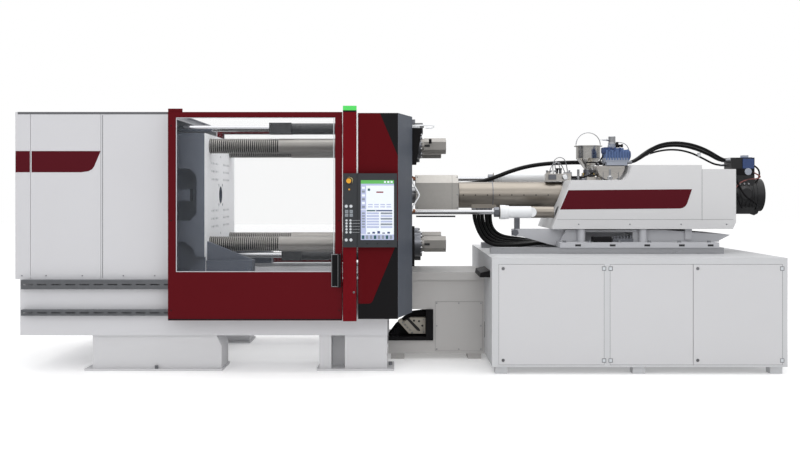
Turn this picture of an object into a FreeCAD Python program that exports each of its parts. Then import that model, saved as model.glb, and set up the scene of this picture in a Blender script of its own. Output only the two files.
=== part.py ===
"""Two-platen injection moulding machine, about 6.5 m long.

Frame: +X from the clamp towards the injection unit, -Y is the operator's side, +Z up.
The origin is on the floor under the middle of the machine. All sizes are in millimetres.
"""
import FreeCAD, Part
import Sketcher
import math
import os
import re

V = FreeCAD.Vector

# ---------------------------------------------------------------- driving dimensions
DIMS = {
    # common
    "axis_height": 1458,
    "sheet_gauge": 3,
    "plate": 25,
    "floor_gauge": 6,
    "slide_gap": 0.3,
    "running_gap": 0.05,
    "clear_gap": 0.5,
    # clamp bed
    "bed_left": -3215,
    "bed_right": -175,
    "bed_half": 950,
    "bed_bottom": 296,
    "bed_top": 762,
    "drop_left": -1650,
    "drop_right": -450,
    "drop_half": 420,
    "rail_inner": 540,
    "rail_outer": 700,
    "rail_top": 790,
    "rail_right": -385,
    "foot_outer": 920,
    "foot_inner": 600,
    "foot_left_low": -2624,
    "foot_left_high": -1553,
    "foot_taper": 90,
    "foot_right_low": -741,
    "foot_right_high": -178,
    "foot_slot_low": -641,
    "foot_slot_high": -528,
    "foot_slot_depth": 160,
    "foot_wall": 20,
    "sole_thick": 18,
    "sole_margin": 60,
    "sole_step": 10,
    "anchor_inset": 28,
    "anchor_flats": 12,
    "anchor_head": 22,
    "washer_radius": 13.5,
    "washer_thick": 5,
    # clamp covers
    "cover_left": -3255,
    "cover_right": -1935,
    "cover_top": 2146,
    "end_return": 124,
    "seam_mid": -2547,
    "seam_gap": 3,
    "cover_fold": 40,
    "roof_rib_air": 5,
    "roof_rib": 40,
    # guard door tracks
    "track_right": -545,
    "track_depth": 50,
    "track_high_low": 682,
    "track_high_top": 759,
    "track_low_low": 464,
    "track_low_top": 513,
    "track_slot_pitch": 116,
    "track_slot_length": 78,
    "track_slot_width": 9,
    "track_slot_margin": 19,
    "track_slots": 22,
    # guard doors
    "door_left": -1956,
    "door_right": -541,
    "door_low": 438,
    "door_top": 2133,
    "door_front": 1100,
    "door_depth": 40,
    "door_skin": 3,
    "door_stile": 65,
    "window_left": -1891,
    "window_right": -598,
    "window_low": 832,
    "window_top": 2088,
    "pane_rebate": 15,
    "pane_front": 1085,
    "pane_thick": 8,
    "hanger_width": 100,
    "hanger_top": 800,
    "hanger_low": 640,
    "hanger_back": 985,
    "hanger_air": 3,
    "hook_left": -1956,
    "hook_right": -1842,
    "hook_top": 2161,
    "hook_front": 1095,
    "hook_back": 1075,
    "handle_left": -628,
    "handle_right": -550,
    "handle_low": 710,
    "handle_top": 978,
    "handle_reach": 55,
    "handle_radius": 13,
    "handle_plate": 6,
    "grip_lip": 45,
    # platens
    "fixed_face": -370,
    "fixed_back": 10,
    "platen_half": 750,
    "platen_low": 932,
    "platen_top": 1985,
    "fixed_foot_inner": 560,
    "fixed_foot_right": -190,
    "bar_spread_side": 500,
    "bar_spread_up": 427,
    "bar_radius": 65,
    "bar_left": -3150,
    "bar_right": 140,
    "bar_end": 330,
    "bar_flats": 60,
    "bar_hole": 66.5,
    "thread_left": -2290,
    "thread_pitch": 18,
    "thread_gap": 10,
    "thread_root": 57,
    "thread_turns": 65,
    "collar_thick": 20,
    "collar_radius": 112,
    "nut_right": 110,
    "nut_radius": 109,
    "nut_bolt_circle": 92,
    "nut_bolt_radius": 9,
    "nut_bolt_head": 12,
    "nut_bolts": 8,
    "locating_radius": 80,
    "locating_depth": 35,
    "nozzle_hole": 60,
    "cone_left": -250,
    "cone_radius": 170,
    "mould_hole_radius": 12,
    "mould_hole_depth": 60,
    "mould_hole_step": 70,
    "moving_face": -1727,
    "moving_back": -2150,
    "pocket_left": -2080,
    "pocket_right": -1797,
    "pocket_low": 1237,
    "pocket_top": 1682,
    "pocket_depth": 170,
    "pocket_block_half": 50,
    "pocket_block_left": -2010,
    "pocket_block_right": -1860,
    "pocket_corner": 60,
    "arch_centre": -1940,
    "arch_radius": 130,
    "arch_depth": 90,
    "shoe_top": 899,
    "shoe_nose": -1330,
    "gusset_top": 1060,
    "gusset_inner": 590,
    "gusset_outer": 650,
    "core_half": 200,
    "core_bottom": -1980,
    "lug_left": -2190,
    "lug_right": -2120,
    "lug_half": 60,
    "lug_top": 2095,
    "lug_low": 821,
    "lug_root": 80,
    # ejector
    "knock_spread": 90,
    "knock_radius": 15,
    "knock_tip": -1735,
    "cross_left": -2250,
    "cross_right": -2215,
    "cross_half": 180,
    "ram_radius": 24.5,
    "ram_left": -2560,
    "ram_air": 20,
    "bridge_left": -2330,
    "bridge_right": -2300,
    "bridge_half": 265,
    "bridge_post": 235,
    "bridge_post_radius": 20,
    "ejector_left": -2600,
    "ejector_radius": 70,
    # tie bar locking jaws
    "jaw_left": -2270,
    "jaw_right": -2162,
    "jaw_half": 98,
    "jaw_open": 25,
    "jaw_split": 12,
    "jaw_bore": 66,
    "jaw_tooth_bore": 58.5,
    "jaw_ring_left": -2281,
    "jaw_ring": 10,
    "jaw_rings": 7,
    # platen travel cylinders
    "travel_side": 450,
    "travel_offset": 582,
    "travel_rod": 27,
    "travel_rod_hole": 27.4,
    "travel_tube": 48.5,
    "travel_bore": 40,
    "travel_piston": 39.6,
    "travel_head_left": -1212,
    "travel_head_right": -1019,
    "travel_head_half": 65,
    "travel_head_up": 49,
    "travel_wall": 15,
    "travel_end": 60,
    "travel_cap": 130,
    "travel_cap_radius": 44,
    "piston_left": -1010,
    "piston_right": -960,
    "saddle_left": -300,
    "saddle_right": -220,
    "saddle_half": 60,
    "rod_nut_thick": 30,
    "rod_nut_radius": 40,
    # operator side enclosure
    "post_left": -533,
    "post_right": -424,
    "post_front": 1120,
    "post_depth": 60,
    "post_low": 434,
    "post_top": 2145,
    "post_wall": 4,
    "post_arm_low": 600,
    "post_arm_top": 660,
    "lamp_top": 2182,
    "housing_left": -411,
    "housing_right": -86,
    "housing_low": 450,
    "housing_top": 2125,
    "side_right": 34,
    "side_bend": 700,
    "side_back": 640,
    "side_gauge": 4,
    "side_low": 458,
    # control panel
    "panel_left": -529,
    "panel_right": -94,
    "panel_low": 1035,
    "panel_top": 1633,
    "panel_front": 1146,
    "panel_back": 1120.5,
    "neck_inset": 8,
    "panel_split_left": -420,
    "panel_split_right": -411,
    "panel_split_depth": 6,
    "screen_left": -387,
    "screen_right": -119,
    "screen_low": 1095,
    "screen_top": 1578,
    "screen_thick": 3,
    "screen_recess": 4,
    "key_left": -504,
    "key_right": -466,
    "key_row_high": 1367,
    "key_row_low": 1095,
    "key_radius": 11,
    "key_hole": 11.5,
    "key_proud": 6,
    "key_body": 16,
    "key_well": 24,
    "stop_x": -483,
    "stop_z": 1572,
    "stop_collar": 30,
    "stop_collar_proud": 4,
    "stop_cap": 20,
    "stop_cap_back": 12,
    "stop_cap_front": 29,
    "stop_stem": 8,
    "stop_stem_end": 14,
    # injection frame
    "frame_right": 678,
    "frame_half": 360,
    "frame_ledge": 380,
    "frame_low": 50,
    "frame_ledge_low": 704,
    "frame_top": 775,
    "chute_right": 225,
    "chute_low": 168,
    "chute_top": 444,
    "frame_foot": 120,
    "access_left": 244,
    "access_right": 661,
    "access_low": 76,
    "access_top": 510,
    "manifold_left": -105,
    "manifold_right": 195,
    "manifold_low": 255,
    "manifold_top": 365,
    "manifold_front": 320,
    "manifold_back": 230,
    "manifold_row_low": 292,
    "manifold_row_high": 328,
    "manifold_columns": 5,
    "manifold_margin": 30,
    "manifold_pitch": 60,
    "manifold_port": 13,
    "manifold_port_depth": 40,
    # base cabinet
    "base_right": 3080,
    "base_half": 1100,
    "base_low": 60,
    "base_top": 946,
    "bay_back": 540,
    "bay_low": 77,
    "bay_top": 895,
    "bay_one_left": 732,
    "bay_one_right": 1590,
    "bay_two_left": 1637,
    "bay_two_right": 3039,
    "bay_meeting": 2313,
    "bay_lip": 30,
    "bay_lip_right": 10,
    "door_gap": 2,
    "leaf_thick": 20,
    "leaf_skin": 3,
    "leaf_rim": 60,
    "stand_half": 50,
    "stand_inset": 80,
    "slide_left": 720,
    "slide_right": 2750,
    "slide_inner": 430,
    "slide_outer": 530,
    "slide_top": 1000,
    "lock_inset": 36,
    "lock_high": 860,
    "lock_low": 115,
    "lock_head": 13,
    "lock_proud": 4,
    "lock_stem": 8,
    "lock_hole": 8.4,
    "cam_length": 60,
    "cam_half": 8,
    "cam_front": 1077,
    "cam_thick": 3,
    # injection carriage
    "carriage_left": 1320,
    "carriage_right": 2700,
    "carriage_half": 560,
    "carriage_slab": 1045,
    "pedestal_left": 1400,
    "pedestal_right": 2250,
    "pedestal_half": 380,
    "pedestal_top": 1150,
    "arm_left": 930,
    "arm_tip_low": 1095,
    "arm_bend": 1020,
    "arm_bend_low": 1087,
    "arm_root": 1280,
    "arm_root_low": 1013,
    "arm_right": 1450,
    "arm_top": 1156,
    "arm_half": 40,
    "pillar_left": 955,
    "pillar_right": 995,
    "pillar_half": 20,
    "pillar_top": 1253,
    "recess_left": 1570,
    "recess_right": 1990,
    "recess_back": 230,
    "recess_low": 1050,
    "recess_top": 1130,
    "wedge_left": 1345,
    "tail_low_right": 2756,
    "tail_lip": 10,
    "tail_right": 2856,
    "tail_top": 1106,
    "head_plate_left": 1500,
    "head_plate_right": 1560,
    "head_plate_half": 400,
    "head_plate_top": 1580,
    "rear_plate_left": 2450,
    "rear_plate_right": 2510,
    "rear_plate_low": 1065,
    "rear_plate_top": 1640,
    "guide_bar": 35,
    "guide_bar_side": 220,
    "ear_half": 64,
    "ear_top": 1676,
    # injection cover
    "hood_half": 450,
    "hood_wall": 5,
    "hood_low": 1159,
    "hood_left_low": 1266,
    "hood_left_high": 1433,
    "deck_top": 1590,
    "deck_right": 1893,
    "saddle_notch": 155,
    "hood_top": 1722,
    "hood_step": 2584,
    "hood_rear_top": 1686,
    "hood_right": 2883,
    "hood_tail": 2856,
    "hood_tail_top": 1219,
    "notch_inner": 230,
    "notch_outer": 370,
    "notch_right": 1566,
    "notch_low": 1500,
    "shroud_hole": 128,
    "throat_hole": 60,
    # barrel, screw and drive
    "barrel_left": -60,
    "barrel_right": 1700,
    "barrel_radius": 75,
    "barrel_bore": 40,
    "bore_left": -50,
    "nozzle_tip": -333,
    "nozzle_radius": 30,
    "nozzle_bore": 6,
    "nozzle_nose": 15,
    "nozzle_taper": 20,
    "hopper_x": 1669,
    "throat_x": 1659,
    "throat_radius": 25,
    "shroud_left": 471,
    "shroud_mid": 780,
    "shroud_right": 1480,
    "shroud_radius": 122.5,
    "shroud_small": 119,
    "shroud_gauge": 3,
    "terminal_left": 585,
    "terminal_right": 812,
    "terminal_front": 85,
    "terminal_back": 97,
    "terminal_low": 1338,
    "guard_left": 73,
    "guard_right": 459,
    "guard_half": 200,
    "guard_low": 1327,
    "guard_shoulder": 1568,
    "guard_top": 1640,
    "guard_top_half": 120,
    "screw_tip": -40,
    "screw_flight_end": 1560,
    "screw_core": 28,
    "screw_point": 50,
    "screw_flight": 39.5,
    "screw_pitch": 80,
    "flight_width": 10,
    "shank_radius": 38,
    "shank_step": 1750,
    "journal_radius": 45,
    "screw_end": 1890,
    "spline_hole": 25.5,
    "spline_radius": 25,
    "spline_depth": 1590,
    "spline_tip": 1850,
    "thrust_left": 1800,
    "thrust_right": 1900,
    "thrust_half": 300,
    "thrust_low": 1320,
    "thrust_top": 1570,
    "motor_left": 2888,
    "motor_right": 3255,
    "motor_radius": 150,
    "motor_flange_right": 2930,
    "motor_flange_radius": 190,
    "motor_shaft": 24,
    "block_left": 2960,
    "block_right": 3170,
    "block_half": 105,
    "block_top": 1800,
    "block_low": 1285,
    # traverse cylinders
    "traverse_side": 300,
    "traverse_drop": 153,
    "traverse_rod": 20,
    "traverse_rod_hole": 20.4,
    "traverse_tube": 51.5,
    "traverse_bore": 42,
    "traverse_piston": 41.6,
    "traverse_left": 820,
    "traverse_right": 1300,
    "traverse_rear_right": 1500,
    "traverse_head": 62,
    "traverse_head_right": 870,
    "traverse_piston_left": 1200,
    "traverse_piston_right": 1240,
    "traverse_wall": 14,
    # hopper
    "hopper_rim_top": 1912,
    "hopper_rim_low": 1904,
    "hopper_rim": 128,
    "hopper_radius": 110,
    "hopper_cone_top": 1795,
    "hopper_cone_low": 1700,
    "neck_radius": 38,
    "neck_bore": 35,
    "neck_low": 1534,
    "hopper_gauge": 3,
    "bail_wire": 4,
    "bail_radius": 116,
    "bail_pivot": 1922,
    # conveying unit
    "saddle_x": 1808,
    "saddle_radius": 126,
    "saddle_top": 1718,
    "spacer_left": 1775,
    "spacer_right": 1912,
    "unit_left": 1765,
    "unit_right": 1985,
    "unit_front": 330,
    "unit_back": 130,
    "unit_low": 1725,
    "unit_top": 1890,
    "port_bar_left": 1960,
    "port_bar_right": 2005,
    "port_bar_back": 240,
    "port_bar_top": 1795,
    "cap_x": 1878,
    "cap_radius": 36,
    "cap_top": 1990,
}

doc = FreeCAD.newDocument("injection_moulding_machine")
NODES = []


def write_sheet():
    """Put every driving dimension in the spreadsheet under its own alias."""
    sheet = doc.addObject("Spreadsheet::Sheet", "dims")
    for row, (alias, size) in enumerate(DIMS.items(), start=1):
        sheet.set(f"A{row}", alias)
        sheet.set(f"B{row}", str(size))
        sheet.setAlias(f"B{row}", alias)
    doc.recompute()


def formula(text):
    """Point every dimension named in an expression at the spreadsheet."""
    return re.sub(r"[a-z_]+", lambda w: f"dims.{w[0]}" if w[0] in DIMS else w[0], str(text))


def bind(item, **sizes):
    """Bind properties of an object to expressions."""
    for name, text in sizes.items():
        item.setExpression(name, formula(text))
    return item


def place(item, **coordinates):
    """Bind the x, y or z of an object's placement to expressions."""
    for axis, text in coordinates.items():
        item.setExpression(f".Placement.Base.{axis}", formula(text))
    return item


def node(item, label):
    """Make an object one of the machine's pieces."""
    item.Label = label
    NODES.append(item)
    return item


# ---------------------------------------------------------------- solids
def block(x, y, z):
    """Box between a low and a high plane on each axis."""
    box = doc.addObject("Part::Box", "block")
    sizes = [f"({high}) - ({low})" for low, high in (x, y, z)]
    bind(box, Length=sizes[0], Width=sizes[1], Height=sizes[2])
    return place(box, x=x[0], y=y[0], z=z[0])


TURNS = {
    "x": FreeCAD.Rotation(V(0, 1, 0), 90),
    "y": FreeCAD.Rotation(V(1, 0, 0), -90),
    "z": FreeCAD.Rotation(),
}


def along(item, axis, at, start):
    """Lay an object that was made along Z along another axis, through the point at."""
    item.Placement = FreeCAD.Placement(V(), TURNS[axis])
    others = [name for name in "xyz" if name != axis]
    return place(item, **{axis: start, others[0]: at[0], others[1]: at[1]})


def rod(axis, at, span, radius):
    """Cylinder along an axis; at holds its other two coordinates, in X, Y, Z order."""
    bar = doc.addObject("Part::Cylinder", "rod")
    bind(bar, Radius=radius, Height=f"({span[1]}) - ({span[0]})")
    return along(bar, axis, at, span[0])


def hexagon(axis, at, span, apothem):
    """Hexagonal prism with two of its flats level."""
    bar = doc.addObject("Part::Prism", "hexagon")
    bar.Polygon = 6
    bind(bar, Circumradius=f"({apothem}) / cos(30)", Height=f"({span[1]}) - ({span[0]})")
    return along(bar, axis, at, span[0])


def taper(axis, at, span, radii):
    """Cone along an axis."""
    cone = doc.addObject("Part::Cone", "taper")
    bind(cone, Radius1=radii[0], Radius2=radii[1], Height=f"({span[1]}) - ({span[0]})")
    return along(cone, axis, at, span[0])


def group(*items):
    """Separate solids kept together as one shape."""
    flock = doc.addObject("Part::Compound", "group")
    flock.Links = list(items)
    return flock


def fuse(*items):
    joined = doc.addObject("Part::MultiFuse", "fuse")
    joined.Shapes = list(items)
    joined.Refine = True
    return joined


def cut(base, *tools):
    """Take tools away from base."""
    left = doc.addObject("Part::Cut", "cut")
    left.Base = base
    left.Tool = tools[0] if len(tools) == 1 else fuse(*tools)
    return left


def mirrored(item, axis="y"):
    """Reflect an object in the plane through the origin across an axis."""
    image = doc.addObject("Part::Mirroring", "mirrored")
    image.Source = item
    image.Normal = {"x": V(1, 0, 0), "y": V(0, 1, 0)}[axis]
    return image


def both_sides(item):
    """An object and its mirror image on the other side of the machine."""
    return group(item, mirrored(item))


def front(near, far):
    """A span on the operator's side, from two distances to the machine's middle plane."""
    return (f"-({near})", f"-({far})")


# ---------------------------------------------------------------- sketched bodies
def origin_item(body, role):
    return next(item for item in body.Origin.OriginFeatures if item.Role == role)


def outline(body, plane, points):
    """Closed sketch through points, with every corner bound to a pair of expressions."""
    sketch = body.newObject("Sketcher::SketchObject", "outline")
    sketch.AttachmentSupport = [(origin_item(body, plane), "")]
    sketch.MapMode = "FlatFace"
    count = len(points)
    ring = [V(math.cos(math.tau * n / count), math.sin(math.tau * n / count)) for n in range(count)]
    for n in range(count):
        sketch.addGeometry(Part.LineSegment(ring[n], ring[(n + 1) % count]))
    for n in range(count):
        sketch.addConstraint(Sketcher.Constraint("Coincident", n, 2, (n + 1) % count, 1))
    for n, corner in enumerate(points):
        for kind, text in zip(("DistanceX", "DistanceY"), corner):
            index = sketch.addConstraint(Sketcher.Constraint(kind, -1, 1, n, 1, 1.0))
            sketch.setExpression(f"Constraints[{index}]", formula(text))
    return sketch


def prism(plane, points, span):
    """Pad of an outline on an origin plane, between two positions across that plane."""
    body = doc.addObject("PartDesign::Body", "prism")
    sketch = outline(body, plane, points)
    start = f"-({span[1]})" if plane == "XZ_Plane" else span[0]
    sketch.setExpression(".AttachmentOffset.Base.z", formula(start))
    pad = body.newObject("PartDesign::Pad", "pad")
    pad.Profile = sketch
    bind(pad, Length=f"({span[1]}) - ({span[0]})")
    return body


def turned(axis, at, points):
    """Revolved body; points are (position along the axis, radius) pairs."""
    body = doc.addObject("PartDesign::Body", "turned")
    flat = axis == "x"
    corners = points if flat else [(radius, height) for height, radius in points]
    sketch = outline(body, "XY_Plane" if flat else "XZ_Plane", corners)
    spin = body.newObject("PartDesign::Revolution", "spin")
    spin.Profile = sketch
    spin.ReferenceAxis = (sketch, ["H_Axis" if flat else "V_Axis"])
    spin.Angle = 360
    sides = ("y", "z") if flat else ("x", "y")
    return place(body, **{sides[0]: at[0], sides[1]: at[1]})


def bays(low, high, count):
    """Clear spaces between webs one plate thick, from one inner wall to the other."""
    pitch = f"(({high}) - ({low}) + plate) / {count}"
    return [
        (f"({low}) + {n} * {pitch}", f"({low}) + {n + 1} * {pitch} - plate") for n in range(count)
    ]


# ---------------------------------------------------------------- clamp bed
def clamp_bed():
    """Welded box bed with ribs inside and the parts drop open from top to bottom."""
    hull = block(("bed_left", "bed_right"), ("-bed_half", "bed_half"), ("bed_bottom", "bed_top"))
    depth = ("bed_bottom + floor_gauge", "bed_top - plate")
    ends = bays("bed_left + plate", "drop_left - plate", 3)
    ends += bays("drop_right + plate", "bed_right - plate", 1)
    middle = bays("drop_left", "drop_right", 2)
    side = ("drop_half + plate", "bed_half - plate")
    cells = [block(bay, side, depth) for bay in ends + middle]
    cells += [mirrored(cell) for cell in cells]
    for bay in ends:
        half = block(bay, ("plate / 2", "drop_half"), depth)
        cells += [half, mirrored(half)]
    drop = block(
        ("drop_left", "drop_right"), ("-drop_half", "drop_half"), ("bed_bottom - 1", "bed_top + 1")
    )
    return node(cut(hull, group(*cells), drop), "clamp_bed")


def bed_feet():
    """Four welded box feet on sole plates; the right pair has a levelling gap."""
    high = "bed_bottom"
    left = prism(
        "XZ_Plane",
        [
            ("foot_left_low", "sole_thick"),
            ("foot_left_high", "sole_thick"),
            ("foot_left_high", f"{high} - foot_taper"),
            ("foot_left_high - foot_taper / 2", high),
            ("foot_left_low", high),
        ],
        front("foot_outer", "foot_inner"),
    )
    hollows = [
        block(
            bay,
            front("foot_outer - foot_wall", "foot_inner + foot_wall"),
            ("sole_thick + foot_wall", f"{high} - foot_wall"),
        )
        for bay in bays("foot_left_low + foot_wall", "foot_left_high - foot_taper - foot_wall", 2)
    ]
    left_sole = block(
        ("foot_left_low - sole_margin", "foot_left_high + sole_step"),
        front("foot_outer + sole_margin / 2", "foot_inner - sole_margin / 2"),
        (0, "sole_thick"),
    )
    right = block(
        ("foot_right_low", "foot_right_high"),
        front("foot_outer", "foot_inner"),
        ("sole_thick", high),
    )
    slot = block(
        ("foot_slot_low", "foot_slot_high"),
        front("foot_outer + 1", "foot_outer - foot_slot_depth"),
        ("sole_thick", f"{high} + 1"),
    )
    right_sole = block(
        ("foot_right_low - sole_margin / 3", "foot_right_high + sole_margin"),
        front("foot_outer + sole_margin / 2", "foot_inner - sole_margin / 2"),
        (0, "sole_thick"),
    )
    pair = group(fuse(cut(left, *hollows), left_sole), fuse(cut(right, slot), right_sole))
    return node(both_sides(pair), "bed_feet")


def anchor_bolts():
    """Hexagon bolts with washers that hold the sole plates to the floor."""
    bolts = []
    edge = "-(foot_outer + sole_margin / 2 - anchor_inset / 2)"
    left = ["foot_left_low - anchor_inset", "foot_left_low / 2 + foot_left_high / 2"]
    right = ["foot_right_high + anchor_inset"]
    for x in left + right:
        y = edge if x == left[1] else "-(foot_outer + foot_inner) / 2"
        seat = "sole_thick + washer_thick"
        washer = rod("z", (x, y), ("sole_thick", seat), "washer_radius")
        head = hexagon("z", (x, y), (seat, f"{seat} + anchor_head"), "anchor_flats")
        bolts.append(fuse(washer, head))
    return node(both_sides(group(*bolts)), "anchor_bolts")


def guide_rails():
    """Hardened flat ways: two under the moving platen and two under the injection carriage."""
    clamp = block(
        ("bed_left + plate", "rail_right"), ("rail_inner", "rail_outer"), ("bed_top", "rail_top")
    )
    slide = block(
        ("slide_left", "slide_right"), ("slide_inner", "slide_outer"), ("base_top", "slide_top")
    )
    return node(both_sides(group(clamp, slide)), "guide_rails")


# ---------------------------------------------------------------- clamp covers
def channel(x, near, far, z):
    """Upright sheet panel with its two edges folded inwards; near and far are from the middle."""
    low, high = x
    points = [
        (low, f"-({far})"),
        (high, f"-({far})"),
        (high, f"-({near})"),
        (f"{high} - sheet_gauge", f"-({near})"),
        (f"{high} - sheet_gauge", f"-({far} - sheet_gauge)"),
        (f"{low} + sheet_gauge", f"-({far} - sheet_gauge)"),
        (f"{low} + sheet_gauge", f"-({near})"),
        (low, f"-({near})"),
    ]
    return prism("XY_Plane", points, z)


def clamp_covers():
    """Sheet housing round the clamp's locking end: one end piece, four side panels, one roof."""
    height = ("bed_top", "cover_top - sheet_gauge")
    edge = "cover_left + end_return"
    outer = [
        (edge, "-bed_half"),
        ("cover_left", "-bed_half"),
        ("cover_left", "bed_half"),
        (edge, "bed_half"),
    ]
    half = "bed_half - sheet_gauge"
    inner = "cover_left + sheet_gauge"
    back = [(edge, half), (inner, half), (inner, f"-({half})"), (edge, f"-({half})")]
    node(prism("XY_Plane", outer + back, height), "clamp_end_cover")

    inside = "bed_half - cover_fold"
    middle = channel((f"{edge} + seam_gap", "seam_mid - seam_gap / 2"), inside, "bed_half", height)
    right = channel(("seam_mid + seam_gap / 2", "cover_right"), inside, "bed_half", height)
    node(both_sides(group(middle, right)), "clamp_side_covers")

    roof = block(
        ("cover_left", "cover_right"),
        ("-bed_half", "bed_half"),
        ("cover_top - sheet_gauge", "cover_top"),
    )
    ribs = [
        block(
            (x, f"{x} + sheet_gauge"),
            ("-bed_half + cover_fold + roof_rib_air", "bed_half - cover_fold - roof_rib_air"),
            ("cover_top - sheet_gauge - roof_rib", "cover_top - sheet_gauge"),
        )
        for x in ("seam_mid", "cover_right - cover_fold - roof_rib_air", "cover_left + end_return")
    ]
    node(fuse(roof, *ribs), "clamp_roof")


def door_tracks():
    """Slotted channels on both sides of the bed that carry the guard doors."""
    tracks = []
    length = ("bed_left + plate", "track_right")
    for low, high in (("track_high_low", "track_high_top"), ("track_low_low", "track_low_top")):
        shell = block(length, front("bed_half + track_depth", "bed_half"), (low, high))
        hollow = block(
            ("bed_left + plate - 1", "track_right + 1"),
            front("bed_half + track_depth - sheet_gauge", "bed_half - 1"),
            (f"{low} + sheet_gauge", f"{high} - sheet_gauge"),
        )
        slots = []
        web = front("bed_half + track_depth + 1", "bed_half + track_depth - sheet_gauge - 1")
        middle = f"({low} + {high}) / 2"
        height = (f"{middle} - track_slot_width / 2", f"{middle} + track_slot_width / 2")
        for n in range(DIMS["track_slots"]):
            start = f"bed_left + plate + track_slot_margin + {n} * track_slot_pitch"
            slots.append(block((start, f"{start} + track_slot_length"), web, height))
        tracks.append(cut(shell, hollow, group(*slots)))
    return node(both_sides(group(*tracks)), "door_tracks")


# ---------------------------------------------------------------- guard doors
def guard_door_frame():
    """Door on the operator's side: sheet box with a window rebate and two hangers on its back."""
    rear = "door_front - door_depth"
    shell = block(("door_left", "door_right"), front("door_front", rear), ("door_low", "door_top"))
    light = block(
        ("window_left", "window_right"),
        front("door_front + 1", f"{rear} - 1"),
        ("window_low", "window_top"),
    )
    rebate = block(
        ("window_left - pane_rebate", "window_right + pane_rebate"),
        front("pane_front", f"{rear} - 1"),
        ("window_low - pane_rebate", "window_top + pane_rebate"),
    )
    pan = block(
        ("door_left + door_stile", "door_right - door_stile"),
        front("door_front - door_skin", f"{rear} - 1"),
        ("door_low + door_stile", "window_low - door_stile"),
    )
    hook = block(
        ("hook_left", "hook_right"), front("hook_front", "hook_back"), ("door_top", "hook_top")
    )
    hangers = []
    for x in ("door_left + door_stile / 2", "door_right - door_stile / 2 - hanger_width"):
        span = (x, f"{x} + hanger_width")
        body = block(span, front(rear, "hanger_back"), ("hanger_low", "hanger_top"))
        grip = block(
            (f"{x} - 1", f"{x} + hanger_width + 1"),
            front("bed_half + track_depth + hanger_air", "hanger_back - 1"),
            ("track_high_low - 1", "track_high_top + 1"),
        )
        hangers.append(cut(body, grip))
    return fuse(cut(shell, light, rebate, pan), hook, *hangers)


def guard_window():
    """Clear sheet in the rebate of the door on the operator's side."""
    return block(
        ("window_left - pane_rebate", "window_right + pane_rebate"),
        front("pane_front", "pane_front - pane_thick"),
        ("window_low - pane_rebate", "window_top + pane_rebate"),
    )


def door_handle():
    """Tubular bow handle on a backing plate."""
    plate = block(
        ("handle_left", "handle_right"),
        front("door_front + handle_plate", "door_front"),
        ("handle_low", "handle_top"),
    )
    reach = "door_front + handle_reach - handle_radius"
    bar_x = "handle_right - handle_radius"
    arms = []
    for z in ("handle_top - handle_radius", "handle_low + handle_radius"):
        arms.append(rod("y", (bar_x, z), front(reach, "door_front + 1"), "handle_radius"))
    grip = rod(
        "z",
        (bar_x, f"-({reach})"),
        ("handle_low", "handle_top"),
        "handle_radius",
    )
    return fuse(plate, grip, *arms)


def guard_doors():
    frame = guard_door_frame()
    pane = guard_window()
    node(frame, "front_door")
    node(pane, "front_window")
    node(door_handle(), "front_door_handle")
    lip = block(
        ("handle_left", "handle_left + door_skin"),
        ("door_front", "door_front + grip_lip"),
        ("handle_low", "handle_top"),
    )
    node(fuse(mirrored(frame), lip), "rear_door")
    node(mirrored(pane), "rear_window")


# ---------------------------------------------------------------- platens and tie bars
BAR_PLACES = [
    (f"{side} * bar_spread_side", f"axis_height + {up} * bar_spread_up")
    for side in (-1, 1)
    for up in (-1, 1)
]


def mould_holes(face, inward):
    """Threaded holes for clamping a mould, on a grid of equal steps; inward is 1 or -1."""
    places = [(column, row) for column in (2, 3, 4, 5, 6) for row in (2, 3, 4)]
    places += [(0, 5), (0, 6), (1, 6)]
    ends = (face, f"{face} + mould_hole_depth")
    if inward < 0:
        ends = (f"{face} - mould_hole_depth", face)
    holes = []
    for column, row in places:
        for side in {column, -column}:
            for up in (row, -row):
                at = (f"{side} * mould_hole_step", f"axis_height + {up} * mould_hole_step")
                holes.append(rod("x", at, ends, "mould_hole_radius"))
    return group(*holes)


def fixed_platen():
    """Casting that carries the nozzle side of the mould and the ends of the tie bars."""
    body = block(
        ("fixed_face", "fixed_back"), ("-platen_half", "platen_half"), ("platen_low", "platen_top")
    )
    foot = block(
        ("fixed_face", "fixed_foot_right"), ("fixed_foot_inner", "platen_half"), ("bed_top", "platen_low")
    )
    middle = (0, "axis_height")
    span = ("fixed_face - 1", "fixed_back + 1")
    bars = [rod("x", at, span, "bar_radius + clear_gap") for at in BAR_PLACES]
    depth = ("fixed_face - 1", "fixed_face + locating_depth")
    register = rod("x", middle, depth, "locating_radius")
    bore = rod("x", middle, ("fixed_face", "cone_left + 1"), "nozzle_hole")
    cone = taper("x", middle, ("cone_left", "fixed_back"), ("nozzle_hole", "cone_radius"))
    solid = fuse(body, foot, mirrored(foot))
    solid = cut(solid, *bars, register, bore, cone)
    return node(cut(solid, mould_holes("fixed_face", 1)), "fixed_platen")


def side_pocket():
    """Stepped recess in a platen's operator-side face, round a standing block."""
    depth = front("platen_half + 1", "platen_half - pocket_depth")
    low, high = "pocket_low", "pocket_top"
    recess = prism(
        "XZ_Plane",
        [
            ("pocket_left + pocket_corner", low),
            ("pocket_right - pocket_corner", low),
            ("pocket_right", f"{low} + pocket_corner"),
            ("pocket_right", f"{high} - pocket_corner"),
            ("pocket_right - pocket_corner", high),
            ("pocket_left + pocket_corner", high),
            ("pocket_left", f"{high} - pocket_corner"),
            ("pocket_left", f"{low} + pocket_corner"),
        ],
        depth,
    )
    boss = block(
        ("pocket_block_left", "pocket_block_right"),
        front("platen_half - pocket_depth / 4", "platen_half - pocket_depth - 1"),
        ("axis_height - pocket_block_half", "axis_height + pocket_block_half"),
    )
    return cut(recess, boss)


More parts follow.
